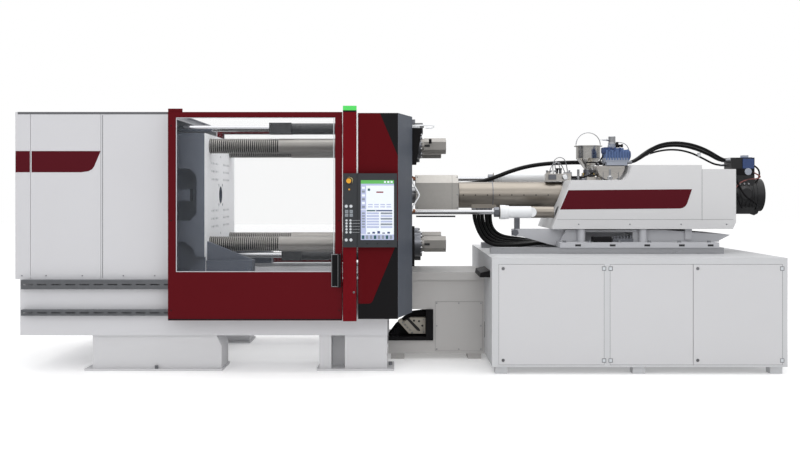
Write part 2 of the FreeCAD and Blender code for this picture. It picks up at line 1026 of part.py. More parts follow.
def moving_platen():
    """Casting on two long shoes, with ejector holes, side pockets and lugs for the travel rods."""
    body = block(
        ("moving_back", "moving_face"), ("-platen_half", "platen_half"), ("platen_low", "platen_top")
    )
    shoe = fuse(
        block(
            ("moving_back", "shoe_nose"),
            ("rail_inner", "rail_outer"),
            ("rail_top + slide_gap", "shoe_top"),
        ),
        block(("moving_back", "moving_face"), ("rail_inner", "rail_outer"), ("shoe_top", "platen_low")),
        prism(
            "XZ_Plane",
            [
                ("moving_face - 1", "shoe_top - 1"),
                ("shoe_nose", "shoe_top - 1"),
                ("shoe_nose", "shoe_top"),
                ("moving_face", "gusset_top"),
                ("moving_face - 1", "gusset_top"),
            ],
            ("gusset_inner", "gusset_outer"),
        ),
    )
    lug_x = ("lug_left", "lug_right")
    top_lug = block(
        lug_x, ("-travel_side - lug_half", "-travel_side + lug_half"), ("platen_top", "lug_top")
    )
    top_root = block(
        ("moving_back - 1", "lug_right"),
        ("-travel_side - lug_half", "-travel_side + lug_half"),
        ("platen_top - lug_root", "platen_top"),
    )
    low_lug = block(
        lug_x, ("travel_side - lug_half", "travel_side + lug_half"), ("lug_low", "platen_low")
    )
    solid = fuse(body, shoe, mirrored(shoe), top_lug, top_root, low_lug)
    span = ("lug_left - 1", "moving_face + 1")
    bars = [rod("x", at, span, "bar_hole") for at in BAR_PLACES]
    rods = [rod("x", at, ("lug_left - 1", "lug_right + 1"), "travel_rod_hole") for at in TRAVEL_PLACES]
    core = block(
        ("moving_back - 1", "core_bottom"),
        ("-core_half", "core_half"),
        ("axis_height - core_half", "axis_height + core_half"),
    )
    register = rod(
        "x", (0, "axis_height"), ("moving_face - locating_depth", "moving_face + 1"), "locating_radius"
    )
    knocks = [
        rod("x", at, ("core_bottom - 1", "moving_face + 1"), "knock_radius + clear_gap")
        for at in KNOCK_PLACES
    ]
    arch = rod(
        "y",
        ("arch_centre", "platen_low"),
        front("platen_half + 1", "platen_half - arch_depth"),
        "arch_radius",
    )
    solid = cut(solid, *bars, *rods, core, register, *knocks)
    solid = cut(solid, group(side_pocket(), mirrored(side_pocket())))
    solid = cut(solid, group(arch, mirrored(arch)))
    return node(cut(solid, mould_holes("moving_face", -1)), "moving_platen")


def tie_bar():
    """Grooved bar with a hexagonal end, lying on the X axis."""
    body = doc.addObject("PartDesign::Body", "tie_bar")
    plane = "XY_Plane"
    shaft = body.newObject("PartDesign::Revolution", "shaft")
    shaft.Profile = outline(
        body,
        plane,
        [("bar_left", 0), ("bar_right", 0), ("bar_right", "bar_radius"), ("bar_left", "bar_radius")],
    )
    shaft.ReferenceAxis = (shaft.Profile[0], ["H_Axis"])
    shaft.Angle = 360
    doc.recompute()
    ring = outline(
        body,
        plane,
        [
            ("thread_left", "thread_root"),
            ("thread_left + thread_gap", "thread_root"),
            ("thread_left + thread_gap", "bar_radius + 1"),
            ("thread_left", "bar_radius + 1"),
        ],
    )
    groove = body.newObject("PartDesign::Groove", "groove")
    groove.Profile = ring
    groove.ReferenceAxis = (ring, ["H_Axis"])
    groove.Angle = 360
    doc.recompute()
    row = body.newObject("PartDesign::LinearPattern", "groove_row")
    row.Originals = [groove]
    row.Direction = (origin_item(body, "X_Axis"), [""])
    bind(row, Length="thread_pitch * (thread_turns - 1)", Occurrences="thread_turns")
    body.Tip = row
    return fuse(body, hexagon("x", (0, 0), ("bar_right", "bar_end"), "bar_flats"))


def at_bars(make):
    """One copy of a piece, made on the X axis, at each tie bar."""
    copies = []
    for y, z in BAR_PLACES:
        copy = doc.addObject("Part::Compound", "at_bar")
        copy.Links = [make]
        copies.append(place(copy, y=y, z=z))
    return group(*copies)


def tie_bars():
    return node(at_bars(tie_bar()), "tie_bars")


def tie_bar_nuts():
    """Bolted flange nuts with backing collars behind the fixed platen."""
    hole = rod("x", (0, 0), ("fixed_back - 1", "nut_right + 1"), "bar_radius + clear_gap")
    collar = rod("x", (0, 0), ("fixed_back", "fixed_back + collar_thick"), "collar_radius")
    ring = rod("x", (0, 0), ("fixed_back", "nut_right"), "nut_radius")
    heads = []
    for n in range(DIMS["nut_bolts"]):
        angle = f"{n} * 360 / nut_bolts"
        at = (f"nut_bolt_circle * cos({angle})", f"nut_bolt_circle * sin({angle})")
        heads.append(rod("x", at, ("nut_right - 1", "nut_right + nut_bolt_head"), "nut_bolt_radius"))
    return node(at_bars(cut(fuse(collar, ring, *heads), hole)), "tie_bar_nuts")


# ---------------------------------------------------------------- ejector and locking jaws
KNOCK_PLACES = [
    (f"{side} * knock_spread", f"axis_height + {up} * knock_spread")
    for side in (-1, 1)
    for up in (-1, 1)
]


def ejector():
    """Crosshead with four knock-out rods, and the bridge and cylinder that push it."""
    middle = (0, "axis_height")
    cross = block(
        ("cross_left", "cross_right"),
        ("-cross_half", "cross_half"),
        ("axis_height - cross_half", "axis_height + cross_half"),
    )
    ram = rod("x", middle, ("ram_left", "cross_left + 1"), "ram_radius")
    rods = [rod("x", at, ("cross_right - 1", "knock_tip"), "knock_radius") for at in KNOCK_PLACES]
    node(fuse(cross, ram, *rods), "ejector_crosshead")

    bridge = block(
        ("bridge_left", "bridge_right"),
        ("-bridge_half", "bridge_half"),
        ("axis_height - bridge_half", "axis_height + bridge_half"),
    )
    posts = [
        rod(
            "x",
            (f"{side} * bridge_post", f"axis_height + {up} * bridge_post"),
            ("bridge_right - 1", "moving_back"),
            "bridge_post_radius",
        )
        for side in (-1, 1)
        for up in (-1, 1)
    ]
    barrel = rod("x", middle, ("ejector_left", "bridge_left + 1"), "ejector_radius")
    bore = rod("x", middle, ("ram_left - ram_air", "bridge_right + 1"), "ram_radius + clear_gap")
    node(cut(fuse(bridge, barrel, *posts), bore), "ejector_cylinder")


def half_nuts(side):
    """The four half nuts on one side of the bars, held open; side is -1 for the operator's."""
    reach = ("-(jaw_half + jaw_open)", "-(jaw_split + jaw_open)")
    if side > 0:
        reach = ("jaw_split + jaw_open", "jaw_half + jaw_open")
    axis = (f"{side} * jaw_open", 0)
    body = block(("jaw_left", "jaw_right"), reach, ("-jaw_half", "jaw_half"))
    land = rod("x", axis, ("jaw_left - 1", "jaw_right + 1"), "jaw_tooth_bore")
    rings = []
    for n in range(DIMS["jaw_rings"]):
        start = f"jaw_ring_left + {n} * thread_pitch"
        rings.append(rod("x", axis, (start, f"{start} + jaw_ring"), "jaw_bore"))
    return at_bars(cut(body, fuse(land, *rings)))


# ---------------------------------------------------------------- platen travel cylinders
TRAVEL_PLACES = [
    ("-travel_side", "axis_height + travel_offset"),
    ("travel_side", "axis_height - travel_offset"),
]


def travel_cylinders():
    tubes = []
    rods = []
    for number, at in enumerate(TRAVEL_PLACES):
        y, z = at
        head = block(
            ("travel_head_left", "travel_head_right"),
            (f"{y} - travel_head_half", f"{y} + travel_head_half"),
            (f"{z} - travel_head_up", f"{z} + travel_head_up"),
        )
        tube = rod("x", at, ("travel_head_right - 1", "travel_end"), "travel_tube")
        cap = hexagon("x", at, ("travel_end - 1", "travel_cap"), "travel_cap_radius")
        floor = ("platen_top", z) if number == 0 else ("bed_top", z)
        saddle = block(
            ("saddle_left", "saddle_right"), (f"{y} - saddle_half", f"{y} + saddle_half"), floor
        )
        hole = rod("x", at, ("travel_head_left - 1", "travel_head_right"), "travel_rod_hole")
        bore = rod(
            "x", at, ("travel_head_right - travel_wall", "travel_end - travel_wall"), "travel_bore"
        )
        tubes.append(cut(fuse(head, tube, cap, saddle), hole, bore))
        nut = rod("x", at, ("lug_left - rod_nut_thick", "lug_left"), "rod_nut_radius")
        shaft = rod("x", at, ("lug_left - rod_nut_thick", "piston_left + 1"), "travel_rod")
        piston = rod("x", at, ("piston_left", "piston_right"), "travel_piston")
        rods.append(fuse(nut, shaft, piston))
    node(group(*tubes), "travel_cylinders")
    node(group(*rods), "travel_rods")


# ---------------------------------------------------------------- operator side enclosure
def door_post():
    """Square upright beside the guard door, on an arm from the bed."""
    y = front("post_front", "post_front - post_depth")
    tube = block(("post_left", "post_right"), y, ("post_low", "post_top"))
    hollow = block(
        ("post_left + post_wall", "post_right - post_wall"),
        front("post_front - post_wall", "post_front - post_depth + post_wall"),
        ("post_low - 1", "post_top - post_wall"),
    )
    arm = block(
        ("post_left + post_wall", "post_right - post_wall"),
        front("post_front - post_depth + post_wall / 2", "bed_half"),
        ("post_arm_low", "post_arm_top"),
    )
    node(fuse(cut(tube, hollow), arm), "door_post")
    node(block(("post_left", "post_right"), y, ("post_top", "lamp_top")), "status_light")


def operator_housing():
    """Sheet box beside the fixed platen, open towards the machine."""
    shell = block(
        ("housing_left", "housing_right"), front("door_front", "bed_half"), ("housing_low", "housing_top")
    )
    hollow = block(
        ("housing_left + sheet_gauge", "housing_right - sheet_gauge"),
        front("door_front - sheet_gauge", "bed_half - 1"),
        ("housing_low + sheet_gauge", "housing_top - sheet_gauge"),
    )
    node(cut(shell, hollow), "operator_housing")

    gauge = "side_gauge"
    outer = [
        ("housing_right", "-door_front"),
        ("side_right", "-side_bend"),
        ("side_right", "-side_back"),
    ]
    inner = [
        (f"side_right - {gauge}", "-side_back"),
        (f"side_right - {gauge}", "-side_bend"),
        ("housing_right", f"-door_front + 4 * {gauge}"),
    ]
    node(prism("XY_Plane", outer + inner, ("side_low", "housing_top")), "side_panel")


# ---------------------------------------------------------------- control panel
KEY_PLACES = {
    "upper_left": ("key_left", "key_row_high"),
    "upper_right": ("key_right", "key_row_high"),
    "lower_left": ("key_left", "key_row_low"),
    "lower_right": ("key_right", "key_row_low"),
}


def control_panel():
    """Panel case with a keypad side and a screen side, and the push-buttons in it."""
    case = block(
        ("panel_left", "panel_right"), front("panel_front", "panel_back"), ("panel_low", "panel_top")
    )
    neck = block(
        ("housing_left + neck_inset", "panel_right - neck_inset"),
        front("panel_back + 1", "door_front"),
        ("panel_low + neck_inset", "panel_top - neck_inset"),
    )
    collar = rod(
        "y",
        ("stop_x", "stop_z"),
        front("panel_front + stop_collar_proud", "panel_front - 1"),
        "stop_collar",
    )
    groove = block(
        ("panel_split_left", "panel_split_right"),
        front("panel_front + 1", "panel_front - panel_split_depth"),
        ("panel_low - 1", "panel_top + 1"),
    )
    recess = block(
        ("screen_left", "screen_right"),
        front("panel_front + 1", "panel_front - screen_recess"),
        ("screen_low", "screen_top"),
    )
    wells = [
        rod("y", at, front("panel_front + 1", "panel_front - key_well"), "key_hole")
        for at in KEY_PLACES.values()
    ]
    stop_well = rod(
        "y",
        ("stop_x", "stop_z"),
        front("panel_front + stop_collar_proud + 1", "panel_front - key_well"),
        "stop_stem + clear_gap",
    )
    node(cut(fuse(case, neck, collar), groove, recess, stop_well, *wells), "panel_case")
    screen = block(
        ("screen_left", "screen_right"),
        front("panel_front - screen_recess + screen_thick", "panel_front - screen_recess"),
        ("screen_low", "screen_top"),
    )
    node(screen, "panel_screen")
    for name, at in KEY_PLACES.items():
        key = rod("y", at, front("panel_front + key_proud", "panel_front - key_body"), "key_radius")
        node(key, f"push_button_{name}")
    cap = rod(
        "y",
        ("stop_x", "stop_z"),
        front("panel_front + stop_cap_front", "panel_front + stop_cap_back"),
        "stop_cap",
    )
    stem = rod(
        "y",
        ("stop_x", "stop_z"),
        front("panel_front + stop_cap_back + 1", "panel_front - stop_stem_end"),
        "stop_stem",
    )
    node(fuse(cap, stem), "emergency_stop")


# ---------------------------------------------------------------- injection frame
def injection_frame():
    """Welded link between bed and base cabinet, with the parts chute through it."""
    length = ("bed_right", "frame_right")
    body = block(length, ("-frame_half", "frame_half"), ("frame_low", "frame_ledge_low"))
    ledge = block(length, ("-frame_ledge", "frame_ledge"), ("frame_ledge_low", "frame_top"))
    pads = [
        block((x, f"{x} + frame_foot"), ("-frame_half + plate", "frame_half - plate"), (0, "frame_low"))
        for x in ("bed_right + plate", "frame_right - plate - frame_foot")
    ]
    chute = block(
        ("bed_right - 1", "chute_right"),
        ("-frame_half - 1", "frame_half + 1"),
        ("chute_low", "chute_top"),
    )
    above = block(
        ("bed_right + plate", "chute_right - plate"),
        ("-frame_half + plate", "frame_half - plate"),
        ("chute_top + plate", "frame_ledge_low - plate"),
    )
    beside = block(
        ("chute_right + plate", "frame_right - plate"),
        ("-frame_half + plate", "frame_half - plate"),
        ("frame_low + floor_gauge", "frame_ledge_low - plate"),
    )
    node(cut(fuse(body, ledge, *pads), chute, above, beside), "injection_frame")
    node(
        block(
            ("access_left", "access_right"),
            front("frame_half + sheet_gauge", "frame_half"),
            ("access_low", "access_top"),
        ),
        "access_panel",
    )


def valve_manifold():
    """Drilled manifold block, set at a slant in the chute."""
    solid = block(
        ("manifold_left", "manifold_right"),
        front("manifold_front", "manifold_back"),
        ("manifold_low", "manifold_top"),
    )
    ports = []
    depth = front("manifold_front + 1", "manifold_front - manifold_port_depth")
    for n in range(DIMS["manifold_columns"]):
        x = f"manifold_left + manifold_margin + {n} * manifold_pitch"
        for z in ("manifold_row_low", "manifold_row_high"):
            ports.append(rod("y", (x, z), depth, "manifold_port"))
    stand = block(
        ("manifold_left", "manifold_left + plate"),
        front("manifold_front - plate", "manifold_back"),
        ("chute_low", "manifold_low + 1"),
    )
    return node(fuse(cut(solid, group(*ports)), stand), "valve_manifold")


# ---------------------------------------------------------------- base cabinet
def base_cabinet():
    """Box base of the injection unit: ribs inside, and two bays behind three doors."""
    hull = block(
        ("frame_right", "base_right"), ("-base_half", "base_half"), ("base_low", "base_top")
    )
    depth = ("base_low + floor_gauge", "base_top - plate")
    cells = [
        block(x, y, depth)
        for x in bays("frame_right + plate", "base_right - plate", 4)
        for y in bays("-bay_back + plate", "base_half - plate", 3)
    ]
    tools = []
    for low, high in (("bay_one_left", "bay_one_right"), ("bay_two_left", "bay_two_right")):
        tools.append(
            block(
                (low, high),
                front("base_half + 1", "base_half - leaf_thick - door_gap - 1"),
                ("bay_low", "bay_top"),
            )
        )
        tools.append(
            block(
                (f"{low} - bay_lip", f"{high} + bay_lip_right"),
                front("base_half - leaf_thick - door_gap", "bay_back"),
                ("bay_low", "bay_top"),
            )
        )
    feet = [
        block(
            (f"{x} - stand_half", f"{x} + stand_half"),
            (f"{y} - stand_half", f"{y} + stand_half"),
            (0, "base_low + 1"),
        )
        for x in (
            "frame_right + stand_inset",
            "(frame_right + base_right) / 2",
            "base_right - stand_inset",
        )
        for y in ("-base_half + stand_inset", "base_half - stand_inset")
    ]
    shell = cut(hull, group(*cells), *tools)
    return node(fuse(shell, *feet), "base_cabinet")


LEAVES = {
    "left": ("bay_one_left", "bay_one_right"),
    "middle": ("bay_two_left", "bay_meeting"),
    "right": ("bay_meeting", "bay_two_right"),
}
LOCK_ROWS = {"upper": "lock_high", "lower": "lock_low"}


def lock_place(leaf, row):
    return (f"{LEAVES[leaf][0]} + lock_inset", LOCK_ROWS[row])


def cabinet_doors():
    """Three sheet leaves with folded rims; the left and right ones have two cam locks each."""
    for leaf, (low, high) in LEAVES.items():
        span = (f"{low} + door_gap", f"{high} - door_gap")
        height = ("bay_low + door_gap", "bay_top - door_gap")
        slab = block(span, front("base_half", "base_half - leaf_thick"), height)
        pan = block(
            (f"{low} + door_gap + leaf_rim", f"{high} - door_gap - leaf_rim"),
            front("base_half - leaf_skin", "base_half - leaf_thick - 1"),
            ("bay_low + door_gap + leaf_rim", "bay_top - door_gap - leaf_rim"),
        )
        holes = []
        if leaf != "middle":
            depth = front("base_half + 1", "base_half - leaf_thick - 1")
            holes = [rod("y", lock_place(leaf, row), depth, "lock_hole") for row in LOCK_ROWS]
        node(cut(slab, pan, *holes), f"cabinet_door_{leaf}")


def cam_locks():
    """Quarter-turn locks with the cam hanging down, clear of the frame."""
    for leaf in ("left", "right"):
        for row in LOCK_ROWS:
            x, z = lock_place(leaf, row)
            head = rod("y", (x, z), front("base_half + lock_proud", "base_half"), "lock_head")
            stem = rod("y", (x, z), front("base_half + 1", "cam_front - 1"), "lock_stem")
            cam = block(
                (f"{x} - cam_half", f"{x} + cam_half"),
                front("cam_front", "cam_front - cam_thick"),
                (f"{z} - cam_length + cam_half", f"{z} + cam_half"),
            )
            if row == "lower":
                cam = block(
                    (f"{x} - cam_half", f"{x} + cam_half"),
                    front("cam_front", "cam_front - cam_thick"),
                    (f"{z} - cam_half", f"{z} + cam_length - cam_half"),
                )
            node(fuse(head, stem, cam), f"cam_lock_{leaf}_{row}")


# ---------------------------------------------------------------- injection carriage
TRAVERSE_PLACES = [
    ("-traverse_side", "axis_height - traverse_drop", "traverse_right"),
    ("traverse_side", "axis_height + traverse_drop", "traverse_rear_right"),
]


def cylinder_rest():
    """Arm from the slab, with a pillar that carries the front traverse cylinder."""
    side = "-traverse_side"
    arm = prism(
        "XZ_Plane",
        [
            ("arm_left", "arm_top"),
            ("arm_right", "arm_top"),
            ("arm_right", "arm_root_low"),
            ("arm_root", "arm_root_low"),
            ("arm_bend", "arm_bend_low"),
            ("arm_left", "arm_tip_low"),
        ],
        (f"{side} - arm_half", f"{side} + arm_half"),
    )
    pillar = block(
        ("pillar_left", "pillar_right"),
        (f"{side} - pillar_half", f"{side} + pillar_half"),
        ("arm_top - 1", "pillar_top"),
    )
    return fuse(arm, pillar)


def carriage_base():
    """Slab on the slideways, with the barrel's head plate, the rear plate and two guide bars."""
    low = "slide_top + slide_gap"
    slab = block(
        ("carriage_left", "carriage_right"), ("-carriage_half", "carriage_half"), (low, "carriage_slab")
    )
    pedestal = prism(
        "XZ_Plane",
        [
            ("wedge_left", "carriage_slab - 1"),
            ("tail_low_right", "carriage_slab - 1"),
            ("tail_low_right", "carriage_slab + tail_lip"),
            ("tail_right", "tail_top"),
            ("pedestal_right", "pedestal_top"),
            ("pedestal_left", "pedestal_top"),
        ],
        ("-pedestal_half", "pedestal_half"),
    )
    recess = block(
        ("recess_left", "recess_right"),
        front("pedestal_half + 1", "recess_back"),
        ("recess_low", "recess_top"),
    )
    head = block(
        ("head_plate_left", "head_plate_right"),
        ("-head_plate_half", "head_plate_half"),
        ("pedestal_top - 1", "head_plate_top"),
    )
    ear = block(
        ("head_plate_left", "head_plate_right"),
        ("traverse_side - ear_half", "traverse_side + ear_half"),
        ("head_plate_top - 1", "ear_top"),
    )
    rear = block(
        ("rear_plate_left", "rear_plate_right"),
        ("-head_plate_half", "head_plate_half"),
        ("rear_plate_low", "rear_plate_top"),
    )
    barrel_hole = rod(
        "x",
        (0, "axis_height"),
        ("head_plate_left - 1", "head_plate_right + 1"),
        "barrel_radius + clear_gap",
    )
    shaft_hole = rod(
        "x",
        (0, "axis_height"),
        ("rear_plate_left - 1", "rear_plate_right + 1"),
        "spline_radius + clear_gap",
    )
    bars = [
        rod("x", (y, "axis_height"), ("head_plate_right - 1", "rear_plate_left + 1"), "guide_bar")
        for y in ("-guide_bar_side", "guide_bar_side")
    ]
    solid = cut(fuse(slab, pedestal), recess, mirrored(recess))
    solid = fuse(solid, head, ear, rear, cylinder_rest(), *bars)
    return node(cut(solid, barrel_hole, shaft_hole), "carriage_base")


def hood_outline(inset):
    """Side outline of the injection cover, drawn a wall's thickness further in when asked."""
    lean = "(hood_left_high - hood_left_low) / (deck_top - hood_low)"
    square = f"{inset} * sqrt(1 + ({lean})^2)"
    return [
        (f"hood_left_low + {square}", "hood_low"),
        (f"hood_left_high + {square} - ({lean}) * {inset}", f"deck_top - {inset}"),
        (f"deck_right + {inset}", f"deck_top - {inset}"),
        (f"deck_right + {inset}", f"hood_top - {inset}"),
        (f"hood_step - {inset}", f"hood_top - {inset}"),
        (f"hood_step - {inset}", f"hood_rear_top - {inset}"),
        (f"hood_right - {inset}", f"hood_rear_top - {inset}"),
        (f"hood_right - {inset}", "hood_tail_top"),
        (f"hood_tail - {inset}", "hood_low"),
    ]


def saddle_hollow(radius, floor):
    """Round space about the conveying unit's saddle, above a level floor."""
    width = ("-hood_half - 1", "hood_half + 1")
    drum = rod("y", ("saddle_x", "saddle_top"), width, radius)
    across = (f"saddle_x - {radius} - 1", f"saddle_x + {radius} + 1")
    under = block(across, width, (f"saddle_top - {radius} - 1", floor))
    return cut(drum, under)


def injection_cover():
    """Folded cover over the drive, open below, with holes for the barrel and the feed throat."""
    outer = prism("XZ_Plane", hood_outline("0"), ("-hood_half", "hood_half"))
    outer = cut(outer, saddle_hollow("saddle_notch", "deck_top"))
    lower = [(x, "hood_low - 1" if z == "hood_low" else z) for x, z in hood_outline("hood_wall")]
    inner = prism("XZ_Plane", lower, ("-hood_half + hood_wall", "hood_half - hood_wall"))
    inner = cut(inner, saddle_hollow("(saddle_notch + hood_wall)", "deck_top - hood_wall"))
    front_wall = ("hood_left_low", "hood_left_high + hood_wall")
    shroud = rod("x", (0, "axis_height"), front_wall, "shroud_hole")
    throat = rod("z", ("hopper_x", 0), ("deck_top - 2 * hood_wall", "deck_top + 1"), "throat_hole")
    rear_wall = ("hood_right - 2 * hood_wall", "hood_right + 1")
    shaft = rod("x", (0, "axis_height"), rear_wall, "motor_shaft + hood_wall")
    front_port = rod("x", TRAVERSE_PLACES[0][:2], front_wall, "traverse_tube + hood_wall")
    notch = block(
        ("hood_left_low", "notch_right"), ("notch_inner", "notch_outer"), ("notch_low", "hood_top")
    )
    return node(cut(cut(outer, inner), shroud, throat, shaft, front_port, notch), "injection_cover")


def barrel():
    """Plasticising cylinder with its nozzle and feed throat."""
    body = turned(
        "x",
        (0, "axis_height"),
        [
            ("nozzle_tip", 0),
            ("nozzle_tip", "nozzle_nose"),
            ("nozzle_tip + nozzle_taper", "nozzle_radius"),
            ("barrel_left", "nozzle_radius"),
            ("barrel_left", "barrel_radius"),
            ("barrel_right", "barrel_radius"),
            ("barrel_right", 0),
        ],
    )
    middle = (0, "axis_height")
    bore = rod("x", middle, ("bore_left", "barrel_right + 1"), "barrel_bore")
    orifice = rod("x", middle, ("nozzle_tip - 1", "screw_tip"), "nozzle_bore")
    throat = rod(
        "z", ("throat_x", 0), ("axis_height", "axis_height + barrel_radius + 1"), "throat_radius"
    )
    return node(cut(body, bore, orifice, throat), "barrel")


def barrel_shroud():
    """Stainless tube round the heaters, in two sizes, with an end disc at each end."""
    steps = [("shroud_left", "shroud_small"), ("shroud_mid", "shroud_small")]
    steps += [("shroud_mid", "shroud_radius"), ("shroud_right", "shroud_radius")]
    outer = [("shroud_left", 0), *steps, ("shroud_right", 0)]
    middle = (0, "axis_height")
    inside = rod(
        "x",
        middle,
        ("shroud_left + shroud_gauge", "shroud_right - shroud_gauge"),
        "shroud_small - shroud_gauge",
    )
    hole = rod("x", middle, ("shroud_left - 1", "shroud_right + 1"), "barrel_radius + clear_gap")
    terminals = block(
        ("terminal_left", "terminal_right"),
        ("-terminal_front", "terminal_back"),
        ("terminal_low", "axis_height - shroud_small / 2"),
    )
    return node(cut(fuse(turned("x", middle, outer), terminals), inside, hole), "barrel_shroud")


def nozzle_guard():
    """Stainless hood over the nozzle end, open below and towards the mould."""
    def section(inset, low):
        side = f"guard_half - {inset}"
        lean = f"guard_top_half - {inset} / 2"
        return [
            (f"-({side})", low),
            (side, low),
            (side, f"guard_shoulder - {inset} / 2"),
            (lean, f"guard_top - {inset}"),
            (f"-({lean})", f"guard_top - {inset}"),
            (f"-({side})", f"guard_shoulder - {inset} / 2"),
        ]

    outer = prism("YZ_Plane", section("0", "guard_low"), ("guard_left", "guard_right"))
    inner = prism(
        "YZ_Plane",
        section("sheet_gauge", "guard_low - 1"),
        ("guard_left - 1", "guard_right - sheet_gauge"),
    )
    hole = rod(
        "x",
        (0, "axis_height"),
        ("guard_right - 2 * sheet_gauge", "guard_right + 1"),
        "barrel_radius + clear_gap",
    )
    return node(cut(outer, inner, hole), "nozzle_guard")


def screw():
    """Plasticising screw: core with a rectangular helical flight, shank, journal and spline hole."""
    core = turned(
        "x",
        (0, "axis_height"),
        [
            ("screw_tip", 0),
            ("screw_tip + screw_point", "screw_core"),
            ("screw_flight_end", "screw_core"),
            ("screw_flight_end", "shank_radius"),
            ("shank_step", "shank_radius"),
            ("shank_step", "journal_radius"),
            ("screw_end", "journal_radius"),
            ("screw_end", 0),
        ],
    )
    hole = rod("x", (0, "axis_height"), ("spline_depth", "screw_end + 1"), "spline_hole")
    flight = doc.addObject("Part::Feature", "screw_flight")
    pitch = DIMS["screw_pitch"]
    start = DIMS["screw_tip"] + pitch
    helix = Part.makeHelix(pitch, DIMS["screw_flight_end"] - start - pitch / 2, DIMS["screw_core"] - 2)
    low = DIMS["screw_core"] - 2
    high = DIMS["screw_flight"]
    half = DIMS["flight_width"] / 2
    corners = [V(low, 0, -half), V(high, 0, -half), V(high, 0, half), V(low, 0, half), V(low, 0, -half)]
    flight.Shape = Part.Wire(helix).makePipeShell([Part.makePolygon(corners)], True, True)
    flight.Placement = FreeCAD.Placement(V(start, 0, DIMS["axis_height"]), TURNS["x"])
    return node(cut(fuse(core, flight), hole), "screw")


def thrust_block():
    """Block that pushes the screw, sliding on the carriage's guide bars."""
    body = block(
        ("thrust_left", "thrust_right"), ("-thrust_half", "thrust_half"), ("thrust_low", "thrust_top")
    )
    span = ("thrust_left - 1", "thrust_right + 1")
    journal = rod("x", (0, "axis_height"), span, "journal_radius + running_gap")
    guides = [
        rod("x", (y, "axis_height"), span, "guide_bar + clear_gap")
        for y in ("-guide_bar_side", "guide_bar_side")
    ]
    return node(cut(body, journal, *guides), "thrust_block")


def drive_motor():
    """Screw drive: motor with flange, valve block and the splined shaft into the screw."""
    middle = (0, "axis_height")
    flange = rod("x", middle, ("motor_left", "motor_flange_right"), "motor_flange_radius")
    body = rod("x", middle, ("motor_left", "motor_right"), "motor_radius")
    valves = block(
        ("block_left", "block_right"), ("-block_half", "block_half"), ("block_low", "block_top")
    )
    shaft = rod("x", middle, ("spline_tip", "motor_left + 1"), "motor_shaft")
    return node(fuse(flange, body, valves, shaft), "drive_motor")


def traverse_cylinders():
    """Two cylinders that draw the carriage to the fixed platen by their standing rods."""
    tubes = []
    rods = []
    for y, z, right in TRAVERSE_PLACES:
        at = (y, z)
        tube = rod("x", at, ("traverse_left", right), "traverse_tube")
        head = rod("x", at, ("traverse_left", "traverse_head_right"), "traverse_head")
        hole = rod("x", at, ("traverse_left - 1", "traverse_head_right"), "traverse_rod_hole")
        bore = rod(
            "x", at, ("traverse_left + traverse_wall", "traverse_right - traverse_wall"), "traverse_bore"
        )
        tubes.append(cut(fuse(tube, head), hole, bore))
        shaft = rod("x", at, ("fixed_back", "traverse_piston_left + 1"), "traverse_rod")
        piston = rod("x", at, ("traverse_piston_left", "traverse_piston_right"), "traverse_piston")
        rods.append(fuse(shaft, piston))
    node(group(*tubes), "traverse_cylinders")
    node(group(*rods), "traverse_rods")


# ---------------------------------------------------------------- hopper and conveying unit
def hopper():
    """Open stainless hopper on its throat, with two pivot ears for the bail."""
    gauge = "hopper_gauge"
    shell = [
        ("neck_low", "neck_bore"),
        ("neck_low", "neck_radius"),
        ("hopper_cone_low", "neck_radius"),
        ("hopper_cone_top", "hopper_radius"),
        ("hopper_rim_low", "hopper_radius"),
        ("hopper_rim_low", "hopper_rim"),
        ("hopper_rim_top", "hopper_rim"),
        ("hopper_rim_top", f"hopper_radius - {gauge}"),
        ("hopper_cone_top", f"hopper_radius - {gauge}"),
        ("hopper_cone_low", "neck_bore"),
    ]
    cup = turned("z", ("hopper_x", 0), shell)
    ears = []
    for side in (-1, 1):
        x = f"hopper_x + {side} * (bail_radius - bail_wire)"
        ears.append(
            block(
                (f"{x} - bail_wire", f"{x} + bail_wire"),
                ("-2 * bail_wire", "2 * bail_wire"),
                ("hopper_rim_top - 1", "bail_pivot - bail_wire - 1"),
            )
        )
    return node(fuse(cup, *ears), "hopper")


def hopper_bail():
    """Half-round wire handle that swings about the line through its two feet."""
    ring = doc.addObject("Part::Torus", "bail_ring")
    bind(ring, Radius1="bail_radius - bail_wire", Radius2="bail_wire")
    ring.Placement = FreeCAD.Placement(V(), FreeCAD.Rotation(V(1, 0, 0), 90))
    place(ring, x="hopper_x", z="bail_pivot")
    lower = block(
        ("hopper_x - 2 * bail_radius", "hopper_x + 2 * bail_radius"),
        ("-bail_radius", "bail_radius"),
        ("bail_pivot - 2 * bail_radius", "bail_pivot"),
    )
    return node(cut(ring, lower), "hopper_bail")


def conveying_unit():
    """Material conveying unit: half-round saddle, finned housing, neck and cap."""
    depth = front("unit_front", "unit_back")
    drum = rod("y", ("saddle_x", "saddle_top"), depth, "saddle_radius")
    above = block(
        ("saddle_x - 2 * saddle_radius", "saddle_x + 2 * saddle_radius"),
        front("unit_front + 1", "unit_back - 1"),
        ("saddle_top", "saddle_top + 2 * saddle_radius"),
    )
    spacer = block(("spacer_left", "spacer_right"), depth, ("saddle_top - 1", "unit_low + 1"))
    body = block(("unit_left", "unit_right"), depth, ("unit_low", "unit_top"))
    cap = rod(
        "z", ("cap_x", "-(unit_front + unit_back) / 2"), ("unit_top - 1", "cap_top"), "cap_radius"
    )
    rail = block(
        ("port_bar_left", "port_bar_right"),
        ("-unit_back - 1", "port_bar_back"),
        ("hood_top", "port_bar_top"),
    )
    return node(fuse(cut(drum, above), spacer, body, cap, rail), "conveying_unit")


